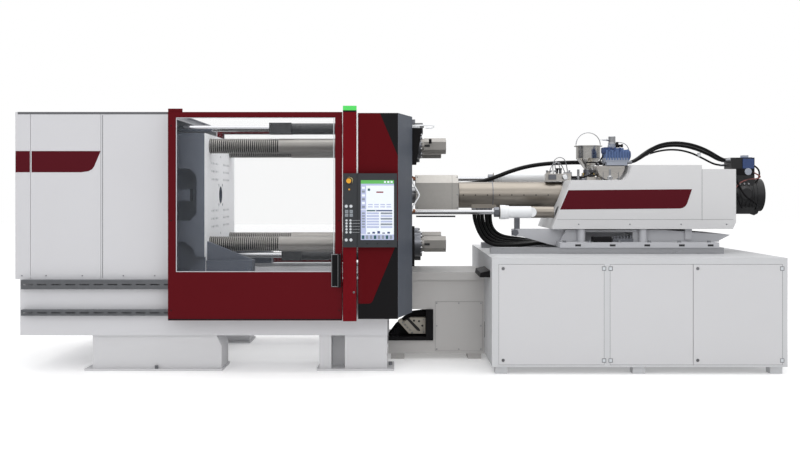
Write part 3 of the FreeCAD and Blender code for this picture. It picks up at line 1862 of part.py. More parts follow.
# ---------------------------------------------------------------- hoses
DRIVE_HOSES = [
    (
        14,
        [
            (2005, y, 1758),
            (2060, y, 1758),
            (2118, y, 1788 + drop / 4),
            (2184, y, 1846 + drop),
            (2270, y, 1902 + drop),
            (2362, y, 1931 + drop),
            (2466, y, 1939 + drop),
            (2574, y, 1927 + drop),
            (2674, y, 1898 + drop),
            (2750, y, 1864 + drop),
            (2815, y, 1826 + drop / 2),
            (2867, y, 1794 + drop / 4),
            (2912, y, 1777),
            (2960, y, 1777),
        ],
    )
    for y, drop in ((-75, 0), (-25, -22), (28, -8))
]
DRAIN_HOSE = (
    9,
    [
        (2005, 78, 1752),
        (2055, 78, 1752),
        (2108, 78, 1772),
        (2170, 78, 1806),
        (2240, 78, 1838),
        (2325, 78, 1865),
        (2425, 78, 1881),
        (2530, 78, 1879),
        (2630, 78, 1856),
        (2710, 78, 1822),
        (2785, 78, 1782),
        (2850, 78, 1749),
        (2908, 78, 1736),
        (2960, 78, 1736),
    ],
)
BARREL_HOSE = (
    20,
    [
        (459, 150, 1560),
        (560, 150, 1560),
        (690, 155, 1580),
        (830, 163, 1626),
        (970, 172, 1682),
        (1120, 182, 1726),
        (1290, 190, 1752),
        (1470, 196, 1763),
        (1650, 200, 1766),
        (1810, 200, 1758),
        (1960, 200, 1758),
    ],
)
UPPER_HOSES = [*DRIVE_HOSES, DRAIN_HOSE, BARREL_HOSE]
LOWER_HOSES = [
    (
        17.5,
        [
            (609, -66, 1338),
            (609, -66, 1268),
            (628, -66, 1190),
            (655, -66, 1120),
            (692, -66, 1061),
            (747, -66, 1017),
            (822, -66, 996),
            (920, -66, 993),
            (1020, -66, 997),
            (1120, -66, 1007),
            (1222, -66, 1020),
            (1320, -66, 1020),
        ],
    ),
    (
        17.5,
        [
            (648, -30, 1338),
            (648, -30, 1268),
            (664, -30, 1192),
            (690, -30, 1125),
            (728, -30, 1070),
            (786, -30, 1030),
            (861, -30, 1010),
            (950, -30, 1004),
            (1050, -30, 1006),
            (1148, -30, 1013),
            (1238, -30, 1020),
            (1320, -30, 1020),
        ],
    ),
    (
        17.5,
        [
            (687, 6, 1338),
            (687, 6, 1270),
            (700, 6, 1196),
            (724, 6, 1132),
            (763, 6, 1080),
            (820, 6, 1043),
            (895, 6, 1023),
            (980, 6, 1016),
            (1070, 6, 1015),
            (1158, 6, 1017),
            (1242, 6, 1020),
            (1320, 6, 1020),
        ],
    ),
    (
        17.5,
        [
            (730, 42, 1338),
            (730, 42, 1270),
            (737, 42, 1202),
            (756, 42, 1142),
            (792, 42, 1094),
            (846, 42, 1060),
            (915, 42, 1043),
            (995, 42, 1037),
            (1078, 42, 1032),
            (1160, 42, 1025),
            (1242, 42, 1021),
            (1320, 42, 1021),
        ],
    ),
    (
        17.5,
        [
            (768, 78, 1338),
            (768, 78, 1270),
            (771, 78, 1206),
            (788, 78, 1151),
            (823, 78, 1108),
            (875, 78, 1078),
            (942, 78, 1062),
            (1020, 78, 1054),
            (1098, 78, 1043),
            (1172, 78, 1030),
            (1246, 78, 1021),
            (1320, 78, 1021),
        ],
    ),
]


def hose(radius, route, name):
    """Tube along straight runs joined by tangent arcs, as large as each pair of runs allows."""
    points = [V(*corner) for corner in route]
    edges = []
    radii = []
    last = points[0]
    for before, corner, after in zip(points, points[1:], points[2:]):
        back = before - corner
        ahead = after - corner
        shorter = min(back.Length, ahead.Length)
        back.normalize()
        ahead.normalize()
        half_turn = (math.pi - back.getAngle(ahead)) / 2
        trim = 0.45 * shorter
        radii.append(trim / math.tan(half_turn))
        bisector = (back + ahead).normalize()
        to_centre = math.hypot(radii[-1], trim)
        middle = corner + bisector * (to_centre - radii[-1])
        edges.append(Part.LineSegment(last, corner + back * trim).toShape())
        edges.append(Part.Arc(corner + back * trim, middle, corner + ahead * trim).toShape())
        last = corner + ahead * trim
    edges.append(Part.LineSegment(last, points[-1]).toShape())
    path = Part.Wire(edges)
    ring = Part.Wire(Part.Circle(points[0], points[1] - points[0], radius).toShape())
    tube = path.makePipeShell([ring], True, False)
    expected = math.pi * radius**2 * path.Length
    print(
        f"{name}: length {path.Length:.0f}, radii {min(radii):.0f} to {max(radii):.0f},"
        f" volume ratio {tube.Volume / expected:.4f}"
    )
    piece = doc.addObject("Part::Feature", name)
    piece.Shape = tube
    return piece


def hoses():
    upper = [hose(*spec, f"upper_hose_{n}") for n, spec in enumerate(UPPER_HOSES)]
    node(group(*upper), "upper_hoses")
    lower = [hose(*spec, f"lower_hose_{n}") for n, spec in enumerate(LOWER_HOSES)]
    node(group(*lower), "lower_hoses")


# ---------------------------------------------------------------- the machine
def build():
    write_sheet()
    clamp_bed()
    bed_feet()
    anchor_bolts()
    guide_rails()
    clamp_covers()
    door_tracks()
    guard_doors()
    fixed_platen()
    moving_platen()
    tie_bars()
    tie_bar_nuts()
    ejector()
    node(half_nuts(-1), "lock_jaws_front")
    node(half_nuts(1), "lock_jaws_rear")
    travel_cylinders()
    door_post()
    operator_housing()
    control_panel()
    injection_frame()
    valve_manifold()
    base_cabinet()
    cabinet_doors()
    cam_locks()
    carriage_base()
    injection_cover()
    barrel()
    barrel_shroud()
    nozzle_guard()
    screw()
    thrust_block()
    drive_motor()
    traverse_cylinders()
    hopper()
    hopper_bail()
    conveying_unit()
    hoses()


def check():
    """Stop if any object failed or any piece is empty or broken."""
    failed = [o.Name for o in doc.Objects if {"Invalid", "Error"} & set(o.State)]
    if failed:
        raise RuntimeError(f"objects failed: {failed}")
    for piece in NODES:
        if piece.Shape.isNull() or not piece.Shape.isValid() or not piece.Shape.Solids:
            raise RuntimeError(f"bad shape: {piece.Label}")


def write_steps():
    os.makedirs("parts", exist_ok=True)
    for piece in NODES:
        piece.Shape.exportStep(f"parts/{piece.Label}.step")
    print(f"{len(NODES)} pieces written")


build()
doc.recompute()
check()
write_steps()
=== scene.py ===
import math

import bmesh
import bpy
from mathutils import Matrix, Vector


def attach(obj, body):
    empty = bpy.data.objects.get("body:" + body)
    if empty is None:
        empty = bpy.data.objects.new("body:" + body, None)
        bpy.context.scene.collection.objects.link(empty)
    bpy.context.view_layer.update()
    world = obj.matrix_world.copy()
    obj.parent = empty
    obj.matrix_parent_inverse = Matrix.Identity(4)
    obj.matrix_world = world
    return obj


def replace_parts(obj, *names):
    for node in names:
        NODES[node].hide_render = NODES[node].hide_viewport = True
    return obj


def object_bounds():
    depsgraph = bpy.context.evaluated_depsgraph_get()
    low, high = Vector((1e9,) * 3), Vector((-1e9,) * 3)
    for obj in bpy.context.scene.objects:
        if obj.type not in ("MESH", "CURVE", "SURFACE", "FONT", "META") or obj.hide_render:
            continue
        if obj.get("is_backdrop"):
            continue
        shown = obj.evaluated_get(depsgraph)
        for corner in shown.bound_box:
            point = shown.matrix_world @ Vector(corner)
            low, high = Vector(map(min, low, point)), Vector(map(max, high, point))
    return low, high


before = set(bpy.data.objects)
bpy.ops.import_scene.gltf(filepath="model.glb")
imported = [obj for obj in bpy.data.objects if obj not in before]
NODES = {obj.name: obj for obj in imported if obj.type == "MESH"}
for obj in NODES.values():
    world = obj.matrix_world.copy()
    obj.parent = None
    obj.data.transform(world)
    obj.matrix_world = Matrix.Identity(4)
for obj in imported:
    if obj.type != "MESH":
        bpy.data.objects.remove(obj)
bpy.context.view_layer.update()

# metres, in the frame's axes: X along the machine, Y away from the operator, Z up
AXIS_Z = 1.458
BAR_Y, BAR_Z = 0.5, 0.427
GROOVE_RADIUS, GROOVES_END = 0.061, -1.1
FACE_DEPTH = 0.0015
SHROUD_RADIUS = 0.1245
COVER_Y, HOOD_Y, BASE_Y = 0.95, 0.45, 1.1
HOUSING_Y, PANEL_Y, SCREEN_Y = -1.1, -1.146, -1.1448
CREASE = math.radians(30)
SIDES = (-1, 1)


# ---------------------------------------------------------------- finishes
def linear(rgb):
    """Screen colour, 0 to 255, as the linear colour that a shader takes."""
    return tuple(
        v / 255 / 12.92 if v / 255 <= 0.04045 else ((v / 255 + 0.055) / 1.055) ** 2.4 for v in rgb
    )


def tones(rgb, vary):
    """A darker and a lighter tone of one colour."""
    base = linear(rgb)
    return [(*(min(v * (1 + side * vary), 1.0) for v in base), 1) for side in (-1, 1)]


def math_node(tree, operation, *values):
    """Result of a sum on numbers and other nodes' results."""
    made = tree.nodes.new("ShaderNodeMath")
    made.operation = operation
    for entry, value in zip(made.inputs, values):
        if isinstance(value, float):
            entry.default_value = value
        else:
            tree.links.new(value, entry)
    return made.outputs["Value"]


def noise(tree, where, scale, detail):
    """Cloudy noise, from 0 to 1."""
    made = tree.nodes.new("ShaderNodeTexNoise")
    made.inputs["Scale"].default_value = scale
    made.inputs["Detail"].default_value = detail
    tree.links.new(where, made.inputs["Vector"])
    return made.outputs["Fac"]


def recolour(tree, colour, share, rgb):
    """The colour given, and rgb where share is 1."""
    swap = tree.nodes.new("ShaderNodeMix")
    swap.data_type = "RGBA"
    swap.inputs["B"].default_value = (*linear(rgb), 1)
    tree.links.new(share, swap.inputs["Factor"])
    tree.links.new(colour, swap.inputs["A"])
    return swap.outputs["Result"]


def on_face(tree, place, plane_x):
    """1 on the face that lies in the plane X = plane_x."""
    return math_node(tree, "COMPARE", place.outputs["X"], plane_x, FACE_DEPTH)


def groove_shade_mask(tree, place):
    """1 in the grooves of the four tie bars, which lie nearer to a bar's axis than its skin: the mask for
    their painted shade.
    """
    across = math_node(tree, "ABSOLUTE", place.outputs["Y"])
    across = math_node(tree, "SUBTRACT", across, BAR_Y)
    height = math_node(tree, "SUBTRACT", place.outputs["Z"], AXIS_Z)
    height = math_node(tree, "SUBTRACT", math_node(tree, "ABSOLUTE", height), BAR_Z)
    across = math_node(tree, "MULTIPLY", across, across)
    square = math_node(tree, "ADD", across, math_node(tree, "MULTIPLY", height, height))
    inside = math_node(tree, "LESS_THAN", square, GROOVE_RADIUS**2)
    return math_node(
        tree, "MULTIPLY", inside, math_node(tree, "LESS_THAN", place.outputs["X"], GROOVES_END),
    )


def finish(name, rgb, rough, metal=0.0, grain=5.0, vary=0.05, stretch=(1, 1, 1), bump=0.04,
           fine=420.0, spread=0.07, shine=0.5, glow=None, face=None, grooves=None):
    """Paint, metal, rubber or plastic: cloudy colour, uneven gloss and a fine surface texture.

    Face is a plane's X and the colour on it, and grooves the painted shade colour in the tie bars' grooves."""
    made = bpy.data.materials.new(name)
    made.use_nodes = True
    tree = made.node_tree
    shader = tree.nodes["Principled BSDF"]
    new = tree.nodes.new
    link = tree.links.new

    where = new("ShaderNodeTexCoord")
    place = new("ShaderNodeSeparateXYZ")
    link(where.outputs["Object"], place.inputs["Vector"])
    turn = new("ShaderNodeMapping")
    turn.inputs["Scale"].default_value = stretch
    link(where.outputs["Object"], turn.inputs["Vector"])
    stretched = turn.outputs["Vector"]

    mix = new("ShaderNodeMix")
    mix.data_type = "RGBA"
    mix.inputs["A"].default_value, mix.inputs["B"].default_value = tones(rgb, vary)
    link(noise(tree, stretched, grain, 6.0), mix.inputs["Factor"])
    colour = mix.outputs["Result"]
    if face:
        plane_x, face_rgb = face
        colour = recolour(tree, colour, on_face(tree, place, plane_x), face_rgb)
    # painted shade: the tie bars' grooves take a near-black colour
    if grooves:
        colour = recolour(tree, colour, groove_shade_mask(tree, place), grooves)
    link(colour, shader.inputs["Base Color"])

    gloss = new("ShaderNodeMapRange")
    gloss.inputs["From Min"].default_value = 0.3
    gloss.inputs["From Max"].default_value = 0.7
    gloss.inputs["To Min"].default_value = max(rough - spread, 0.03)
    gloss.inputs["To Max"].default_value = min(rough + spread, 1.0)
    link(noise(tree, stretched, grain * 3.1, 4.0), gloss.inputs["Value"])
    link(gloss.outputs["Result"], shader.inputs["Roughness"])

    relief = new("ShaderNodeBump")
    relief.inputs["Strength"].default_value = bump
    relief.inputs["Distance"].default_value = 0.002
    link(noise(tree, stretched, fine, 3.0), relief.inputs["Height"])
    link(relief.outputs["Normal"], shader.inputs["Normal"])

    shader.inputs["Metallic"].default_value = metal
    shader.inputs["Specular IOR Level"].default_value = shine
    if glow:
        shader.inputs["Emission Color"].default_value = (*linear(rgb), 1)
        shader.inputs["Emission Strength"].default_value = glow
    return made


def clear(name, rgb, alpha):
    """Clear sheet with faint wipe marks."""
    made = finish(name, rgb, 0.08, grain=3.0, vary=0.04, bump=0.01, spread=0.04, shine=0.25)
    made.node_tree.nodes["Principled BSDF"].inputs["Alpha"].default_value = alpha
    return made


COVER = finish("cover_enamel", (204, 204, 207), 0.42, grain=1.1, vary=0.03, bump=0.05, spread=0.03)
# painted shade: a darker copy of the white enamel, standing in for the shade on the injection frame; the
# access panel shares it
SHADED_LINK = finish("link_enamel_painted_shade", (186, 184, 182), 0.48, grain=1.8, vary=0.03, bump=0.06)
BED = finish("bed_enamel", (206, 206, 209), 0.46, grain=1.8, vary=0.022, bump=0.06)
FOOT = finish("foot_enamel", (206, 206, 208), 0.5, grain=2.4, vary=0.03, bump=0.08)
CABINET = finish("cabinet_enamel", (196, 197, 199), 0.44, grain=1.6, vary=0.02, bump=0.05)
LEAF = finish("cabinet_door_enamel", (200, 200, 202), 0.4, grain=1.5, vary=0.018, bump=0.05)
HOOD = finish("hood_enamel", (207, 207, 208), 0.4, grain=1.7, vary=0.018, bump=0.05)
CASTING = finish("frame_enamel", (190, 191, 195), 0.5, grain=4.0, vary=0.035, bump=0.12, fine=180)
DOOR_RED = finish("door_enamel", (89, 8, 18), 0.6, grain=1.4, vary=0.05, spread=0.02, shine=0.1)
POST_RED = finish("post_enamel", (104, 3, 15), 0.6, grain=1.4, vary=0.06, spread=0.02, shine=0.1)
FASCIA_RED = finish("fascia_enamel", (86, 1, 10), 0.6, grain=1.4, vary=0.08, spread=0.02, shine=0.1)
STRIPE = finish("stripe_film", (82, 12, 24), 0.6, grain=2.4, vary=0.04, bump=0.02, spread=0.02, shine=0.12)
BLACK = finish("black_enamel", (21, 20, 22), 0.55, grain=3.0, vary=0.12, spread=0.03, shine=0.15)
SLATE = finish("slate_enamel", (76, 82, 92), 0.46, grain=1.6, vary=0.07, bump=0.05, spread=0.03, shine=0.35)
# painted highlight: a lighter copy of the slate paint for the lit edge of the housing
SLATE_EDGE_HIGHLIGHT = finish("slate_edge_painted_highlight", (128, 132, 140), 0.4, grain=2.4, vary=0.05)
PLATEN_DARK = (86, 92, 104)
PLATEN_FACE = (244, 245, 247)
MOVING = finish("moving_casting", PLATEN_DARK, 0.5, grain=4.0, vary=0.12, bump=0.25, fine=120,
                face=(-1.727, PLATEN_FACE))
FIXED = finish("fixed_casting", PLATEN_DARK, 0.5, grain=4.0, vary=0.12, bump=0.25, fine=120,
               face=(-0.37, PLATEN_FACE))
STEEL = finish("machined_steel", (160, 161, 164), 0.3, 1.0, grain=5.0, vary=0.1,
               stretch=(1, 14, 14), bump=0.06, fine=160)
# grooves: painted shade, near black, in the tie bars' grooves
BAR_STEEL = finish("bar_steel", (156, 153, 149), 0.42, 0.75, grain=3.0, vary=0.05,
                   stretch=(1, 2, 2), bump=0.03, fine=140, grooves=(30, 28, 26))
GUARD = finish("guard_stainless", (184, 181, 176), 0.5, 0.6, grain=5.0, vary=0.06,
               stretch=(6, 0.4, 6), bump=0.05, fine=110)
# painted shade: a darker copy of the stainless, standing in for the dark studio that the round shroud
# reflects
SHROUD = finish("shroud_stainless_painted_shade", (158, 151, 142), 0.38, 1.0, grain=7.0, vary=0.08,
                stretch=(0.4, 6, 6), bump=0.08, fine=90)
CYLINDER = finish("cylinder_enamel", (48, 49, 52), 0.4, grain=3.0, vary=0.1, bump=0.05, spread=0.03)
GROUND = finish("ground_steel", (128, 130, 136), 0.34, 1.0, grain=6.0, vary=0.14,
                stretch=(1, 12, 12), bump=0.08, fine=160)
RAIL_STEEL = finish("rail_steel", (176, 177, 180), 0.34, 1.0, grain=3.0, vary=0.12,
                    stretch=(1, 10, 10), bump=0.06, fine=150)
STAINLESS = finish("brushed_stainless", (203, 199, 193), 0.32, 1.0, grain=7.0, vary=0.09,
                   stretch=(0.4, 9, 9), bump=0.12, fine=90)
POLISHED = finish("polished_stainless", (205, 203, 198), 0.2, 1.0, grain=5.0, vary=0.06,
                  stretch=(1, 1, 8), bump=0.04, fine=110)
CHROME = finish("chrome", (190, 191, 194), 0.14, 1.0, grain=5.0, vary=0.04, bump=0.01, spread=0.04)
ZINC = finish("zinc_plate", (150, 152, 156), 0.4, 1.0, grain=18.0, vary=0.16, bump=0.06)
COPPER = finish("copper_fitting", (166, 112, 84), 0.34, 1.0, grain=16.0, vary=0.14, bump=0.05)
GLASS = clear("clear_sheet", (170, 176, 180), 0.025)
PANEL = finish("panel_plastic", (47, 50, 54), 0.45, grain=4.0, vary=0.06, bump=0.07, fine=800)
KEY_DARK = finish("key_black", (22, 22, 24), 0.4, grain=9.0, vary=0.1, bump=0.05)
KEY_MID = finish("key_mid", (140, 146, 152), 0.42, grain=9.0, vary=0.05, bump=0.03)
KEY_LIGHT = finish("key_light", (202, 206, 210), 0.4, grain=9.0, vary=0.05, bump=0.03)
AMBER = finish("amber_plastic", (222, 158, 38), 0.34, grain=9.0, vary=0.06, bump=0.03)
CREAM = finish("cream_plastic", (238, 224, 142), 0.4, grain=9.0, vary=0.05, bump=0.03)
RUBBER = finish("hose_rubber", (6, 6, 7), 0.38, grain=14.0, vary=0.2, bump=0.1, fine=260, shine=0.2)
TRIM_WHITE = finish("trim_white", (236, 238, 240), 0.36, grain=4.0, vary=0.02, bump=0.03)
SEAM = finish("seam_shadow", (96, 97, 100), 0.7, grain=8.0, vary=0.1, bump=0.03)
SLOT = finish("slot_shadow", (40, 40, 42), 0.75, grain=8.0, vary=0.12, bump=0.03)
GREEN = finish("green_lamp", (70, 190, 84), 0.3, grain=9.0, vary=0.08, glow=0.35)
BLUE = finish("unit_blue", (80, 104, 148), 0.42, grain=7.0, vary=0.1, bump=0.1)
BLUE_DEEP = finish("unit_blue_deep", (44, 66, 112), 0.45, grain=7.0, vary=0.12, bump=0.1)
UNIT_GREY = finish("unit_grey", (150, 156, 168), 0.45, grain=8.0, vary=0.07, bump=0.1)
MOTOR = finish("motor_black", (30, 30, 32), 0.4, grain=8.0, vary=0.2, bump=0.16, fine=150)
CABLE_RED = finish("cable_red", (122, 70, 66), 0.5, grain=9.0, vary=0.1, bump=0.05)
BEIGE = finish("manifold_beige", (176, 170, 158), 0.5, grain=9.0, vary=0.08, bump=0.1)
BRASS = finish("brass_fitting", (186, 160, 96), 0.3, 1.0, grain=14.0, vary=0.1, bump=0.05)
SCREEN_BASE = finish("screen_white", (226, 232, 238), 0.22, grain=4.0, vary=0.02, bump=0.01, glow=0.12)
SCREEN_GREEN = finish("screen_green", (96, 176, 92), 0.22, grain=4.0, vary=0.03, bump=0.01, glow=0.1)
SCREEN_LILAC = finish("screen_lilac", (176, 184, 214), 0.22, grain=4.0, vary=0.03, bump=0.01, glow=0.1)
SCREEN_NAVY = finish("screen_navy", (62, 76, 122), 0.22, grain=4.0, vary=0.04, bump=0.01)
SCREEN_TEAL = finish("screen_teal", (54, 92, 100), 0.22, grain=4.0, vary=0.04, bump=0.01)
SCREEN_RED = finish("screen_red", (136, 40, 52), 0.22, grain=4.0, vary=0.04, bump=0.01)
SCREEN_GREY = finish("screen_grey", (140, 148, 160), 0.22, grain=4.0, vary=0.04, bump=0.01)

NODE_FINISH = {
    "access_panel": SHADED_LINK, "anchor_bolts": ZINC, "barrel": STEEL, "barrel_shroud": SHROUD,
    "base_cabinet": CABINET, "bed_feet": FOOT, "cabinet_door_left": LEAF,
    "cabinet_door_middle": LEAF, "cabinet_door_right": LEAF, "cam_lock_left_lower": CHROME,
    "cam_lock_left_upper": CHROME, "cam_lock_right_lower": CHROME,
    "cam_lock_right_upper": CHROME, "carriage_base": CASTING, "clamp_bed": BED,
    "clamp_end_cover": COVER, "clamp_roof": COVER, "clamp_side_covers": COVER,
    "conveying_unit": UNIT_GREY, "door_post": POST_RED, "door_tracks": ZINC,
    "drive_motor": MOTOR, "ejector_crosshead": GROUND, "ejector_cylinder": BLACK,
    "emergency_stop": AMBER, "fixed_platen": FIXED, "front_door": DOOR_RED,
    "front_door_handle": BLACK, "front_window": GLASS, "guide_rails": RAIL_STEEL,
    "hopper": POLISHED, "hopper_bail": CHROME, "injection_cover": HOOD,
    "injection_frame": SHADED_LINK, "lock_jaws_front": GROUND, "lock_jaws_rear": GROUND,
    "lower_hoses": RUBBER, "moving_platen": MOVING, "nozzle_guard": GUARD,
    "operator_housing": BLACK, "panel_case": PANEL, "panel_screen": SCREEN_BASE,
    "push_button_lower_left": KEY_LIGHT, "push_button_lower_right": KEY_LIGHT,
    "push_button_upper_left": KEY_LIGHT, "push_button_upper_right": KEY_LIGHT,
    "rear_door": DOOR_RED, "rear_window": GLASS, "screw": CHROME, "side_panel": SLATE,
    "status_light": GREEN, "thrust_block": GROUND, "tie_bar_nuts": GROUND,
    "tie_bars": BAR_STEEL, "travel_cylinders": CYLINDER, "travel_rods": CHROME,
    "traverse_cylinders": SHROUD, "traverse_rods": CHROME, "upper_hoses": RUBBER,
    "valve_manifold": BEIGE,
}
for name, made in NODE_FINISH.items():
    for holder in NODES[name].material_slots:
        holder.material = made


# ---------------------------------------------------------------- pieces
class Piece:
    """One mesh piece made of simple solids, each with its own finish."""

    def __init__(self, name, body, slot, bevel=0.001):
        self.name = name
        self.body = body
        self.slot = slot
        self.bevel = bevel
        self.mesh = bmesh.new()
        self.finishes = []

    def skin(self, rings, made):
        """Joins rings of points, one after the other, and closes both ends."""
        if made not in self.finishes:
            self.finishes.append(made)
        rows = [[self.mesh.verts.new(p) for p in ring] for ring in rings]
        faces = [self.mesh.faces.new(rows[0][::-1]), self.mesh.faces.new(rows[-1])]
        for one, two in zip(rows, rows[1:]):
            for i in range(len(one)):
                j = (i + 1) % len(one)
                faces.append(self.mesh.faces.new((one[i], one[j], two[j], two[i])))
        for face in faces:
            face.material_index = self.finishes.index(made)

    def box(self, low, high, made):
        rings = [
            [(low[0], low[1], z), (high[0], low[1], z), (high[0], high[1], z), (low[0], high[1], z)]
            for z in (low[2], high[2])
        ]
        self.skin(rings, made)

    def plate(self, points, near, far, made):
        """Flat outline in the xz plane, pushed from near to far along Y."""
        self.skin([[(u, w, v) for u, v in points] for w in (near, far)], made)

    def lathe(self, start, along, profile, made, sides=28):
        """Round solid about the line from start; profile holds distance and radius pairs."""
        axis = Vector(along).normalized()
        side = axis.orthogonal().normalized()
        if abs(axis.x) > 0.99:
            side = Vector((0, 0, 1))
        other = axis.cross(side)
        rings = []
        for distance, radius in profile:
            centre = Vector(start) + axis * distance
            rings.append([
                centre + radius * (math.cos(a) * side + math.sin(a) * other)
                for a in (2 * math.pi * n / sides for n in range(sides))
            ])
        self.skin(rings, made)

    def rod(self, start, end, radius, made, sides=24):
        along = Vector(end) - Vector(start)
        self.lathe(start, along, [(0, radius), (along.length, radius)], made, sides)

    def frame(self, low, high, width, near, far, made):
        """Rectangular rim in the xz plane."""
        (x0, z0), (x1, z1) = low, high
        self.box((x0, near, z0), (x1, far, z0 + width), made)
        self.box((x0, near, z1 - width), (x1, far, z1), made)
        self.box((x0, near, z0 + width), (x0 + width, far, z1 - width), made)
        self.box((x1 - width, near, z0 + width), (x1, far, z1 - width), made)

    def done(self):
        bmesh.ops.recalc_face_normals(self.mesh, faces=self.mesh.faces)
        for face in self.mesh.faces:
            face.smooth = True
        data = bpy.data.meshes.new(self.name)
        self.mesh.to_mesh(data)
        self.mesh.free()
        for made in self.finishes:
            data.materials.append(made)
        piece = bpy.data.objects.new(self.name, data)
        bpy.context.scene.collection.objects.link(piece)
        rounding = piece.modifiers.new("rounding", "BEVEL")
        rounding.width = self.bevel
        rounding.segments = 2
        rounding.limit_method = "ANGLE"
        rounding.angle_limit = CREASE
        rounding.harden_normals = True
        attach(piece, self.body)
        return piece


def wires(name, body, made, radius, routes):
    """Pipes or cables of one thickness, each on a smooth line."""
    data = bpy.data.curves.new(name, "CURVE")
    data.dimensions = "3D"
    data.bevel_depth = radius
    data.bevel_resolution = 3
    data.resolution_u = 10
    data.use_fill_caps = True
    for route in routes:
        line = data.splines.new("NURBS")
        line.points.add(len(route) - 1)
        for point, place in zip(line.points, route):
            point.co = (*place, 1)
        line.order_u = 3
        line.use_endpoint_u = True
    data.materials.append(made)
    piece = bpy.data.objects.new(name, data)
    bpy.context.scene.collection.objects.link(piece)
    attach(piece, body)
    return piece


def trim_depth(side, wall, out=0.0012, into=0.001):
    """Lowest and highest Y of a thin trim on the wall at side * wall."""
    return sorted((side * (wall + out), side * (wall - into)))


def arc(centre, radius, start, end, count):
    """Points on an arc, its angles in degrees."""
    steps = [math.radians(start + (end - start) * n / count) for n in range(count + 1)]
    return [(centre[0] + radius * math.cos(a), centre[1] + radius * math.sin(a)) for a in steps]


# ---------------------------------------------------------------- camera
view_data = bpy.data.cameras.new("view")
view_data.lens = 44.3
view_data.sensor_width = 36
view_data.shift_y = -0.0375
camera = bpy.data.objects.new("view", view_data)
camera.location = (-0.07, -9.1, AXIS_Z)
camera.rotation_euler = (math.radians(90), 0, 0)
bpy.context.scene.collection.objects.link(camera)
bpy.context.scene.camera = camera


# ---------------------------------------------------------------- hoses
def drive_route(y, drop):
    return [
        (2.005, y, 1.758), (2.06, y, 1.758), (2.118, y, 1.788 + drop / 4), (2.184, y, 1.846 + drop),
        (2.27, y, 1.902 + drop), (2.362, y, 1.931 + drop), (2.466, y, 1.939 + drop),
        (2.574, y, 1.927 + drop), (2.674, y, 1.898 + drop), (2.75, y, 1.864 + drop),
        (2.815, y, 1.826 + drop / 2), (2.867, y, 1.794 + drop / 4), (2.912, y, 1.777),
        (2.96, y, 1.777),
    ]


DRAIN_ROUTE = [
    (2.005, 0.078, 1.752), (2.055, 0.078, 1.752), (2.108, 0.078, 1.772), (2.17, 0.078, 1.806),
    (2.24, 0.078, 1.838), (2.325, 0.078, 1.865), (2.425, 0.078, 1.881), (2.53, 0.078, 1.879),
    (2.63, 0.078, 1.856), (2.71, 0.078, 1.822), (2.785, 0.078, 1.782), (2.85, 0.078, 1.749),
    (2.908, 0.078, 1.736), (2.96, 0.078, 1.736),
]
BARREL_ROUTE = [
    (0.459, 0.15, 1.56), (0.56, 0.15, 1.56), (0.69, 0.155, 1.58), (0.83, 0.163, 1.626),
    (0.97, 0.172, 1.682), (1.12, 0.182, 1.726), (1.29, 0.19, 1.752), (1.47, 0.196, 1.763),
    (1.65, 0.2, 1.766), (1.81, 0.2, 1.758), (1.96, 0.2, 1.758),
]
LOWER_ROUTES = [
    [
        (0.609, -0.066, 1.338), (0.609, -0.066, 1.268), (0.628, -0.066, 1.19), (0.655, -0.066, 1.12),
        (0.692, -0.066, 1.061), (0.747, -0.066, 1.017), (0.822, -0.066, 0.996), (0.92, -0.066, 0.993),
        (1.02, -0.066, 0.997), (1.12, -0.066, 1.007), (1.222, -0.066, 1.02), (1.32, -0.066, 1.02),
    ],
    [
        (0.648, -0.03, 1.338), (0.648, -0.03, 1.268), (0.664, -0.03, 1.192), (0.69, -0.03, 1.125),
        (0.728, -0.03, 1.07), (0.786, -0.03, 1.03), (0.861, -0.03, 1.01), (0.95, -0.03, 1.004),
        (1.05, -0.03, 1.006), (1.148, -0.03, 1.013), (1.238, -0.03, 1.02), (1.32, -0.03, 1.02),
    ],
    [
        (0.687, 0.006, 1.338), (0.687, 0.006, 1.27), (0.7, 0.006, 1.196), (0.724, 0.006, 1.132),
        (0.763, 0.006, 1.08), (0.82, 0.006, 1.043), (0.895, 0.006, 1.023), (0.98, 0.006, 1.016),
        (1.07, 0.006, 1.015), (1.158, 0.006, 1.017), (1.242, 0.006, 1.02), (1.32, 0.006, 1.02),
    ],
    [
        (0.73, 0.042, 1.338), (0.73, 0.042, 1.27), (0.737, 0.042, 1.202), (0.756, 0.042, 1.142),
        (0.792, 0.042, 1.094), (0.846, 0.042, 1.06), (0.915, 0.042, 1.043), (0.995, 0.042, 1.037),
        (1.078, 0.042, 1.032), (1.16, 0.042, 1.025), (1.242, 0.042, 1.021), (1.32, 0.042, 1.021),
    ],
    [
        (0.768, 0.078, 1.338), (0.768, 0.078, 1.27), (0.771, 0.078, 1.206), (0.788, 0.078, 1.151),
        (0.823, 0.078, 1.108), (0.875, 0.078, 1.078), (0.942, 0.078, 1.062), (1.02, 0.078, 1.054),
        (1.098, 0.078, 1.043), (1.172, 0.078, 1.03), (1.246, 0.078, 1.021), (1.32, 0.078, 1.021),
    ],
]
LOWER_LENGTHS = (0.94, 0.892, 0.845, 0.798, 0.753)
HOSES = [
    ("drive_hose_front", "upper_hoses", drive_route(-0.075, 0), 0.028, 1.034),
    ("drive_hose_middle", "upper_hoses", drive_route(-0.025, -0.022), 0.028, 1.014),
    ("drive_hose_rear", "upper_hoses", drive_route(0.028, -0.008), 0.028, 1.026),
    ("drain_hose", "upper_hoses", DRAIN_ROUTE, 0.018, 1.006),
    ("barrel_hose", "upper_hoses", BARREL_ROUTE, 0.04, 1.53),
    *(
        (f"lower_hose_{n + 1}", "lower_hoses", route, 0.035, length)
        for n, (route, length) in enumerate(zip(LOWER_ROUTES, LOWER_LENGTHS))
    ),
]
for name, node, route, diameter, length in HOSES:
    hose = wires(name, "injection_unit", RUBBER, diameter / 2, [route])
    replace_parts(hose, node)

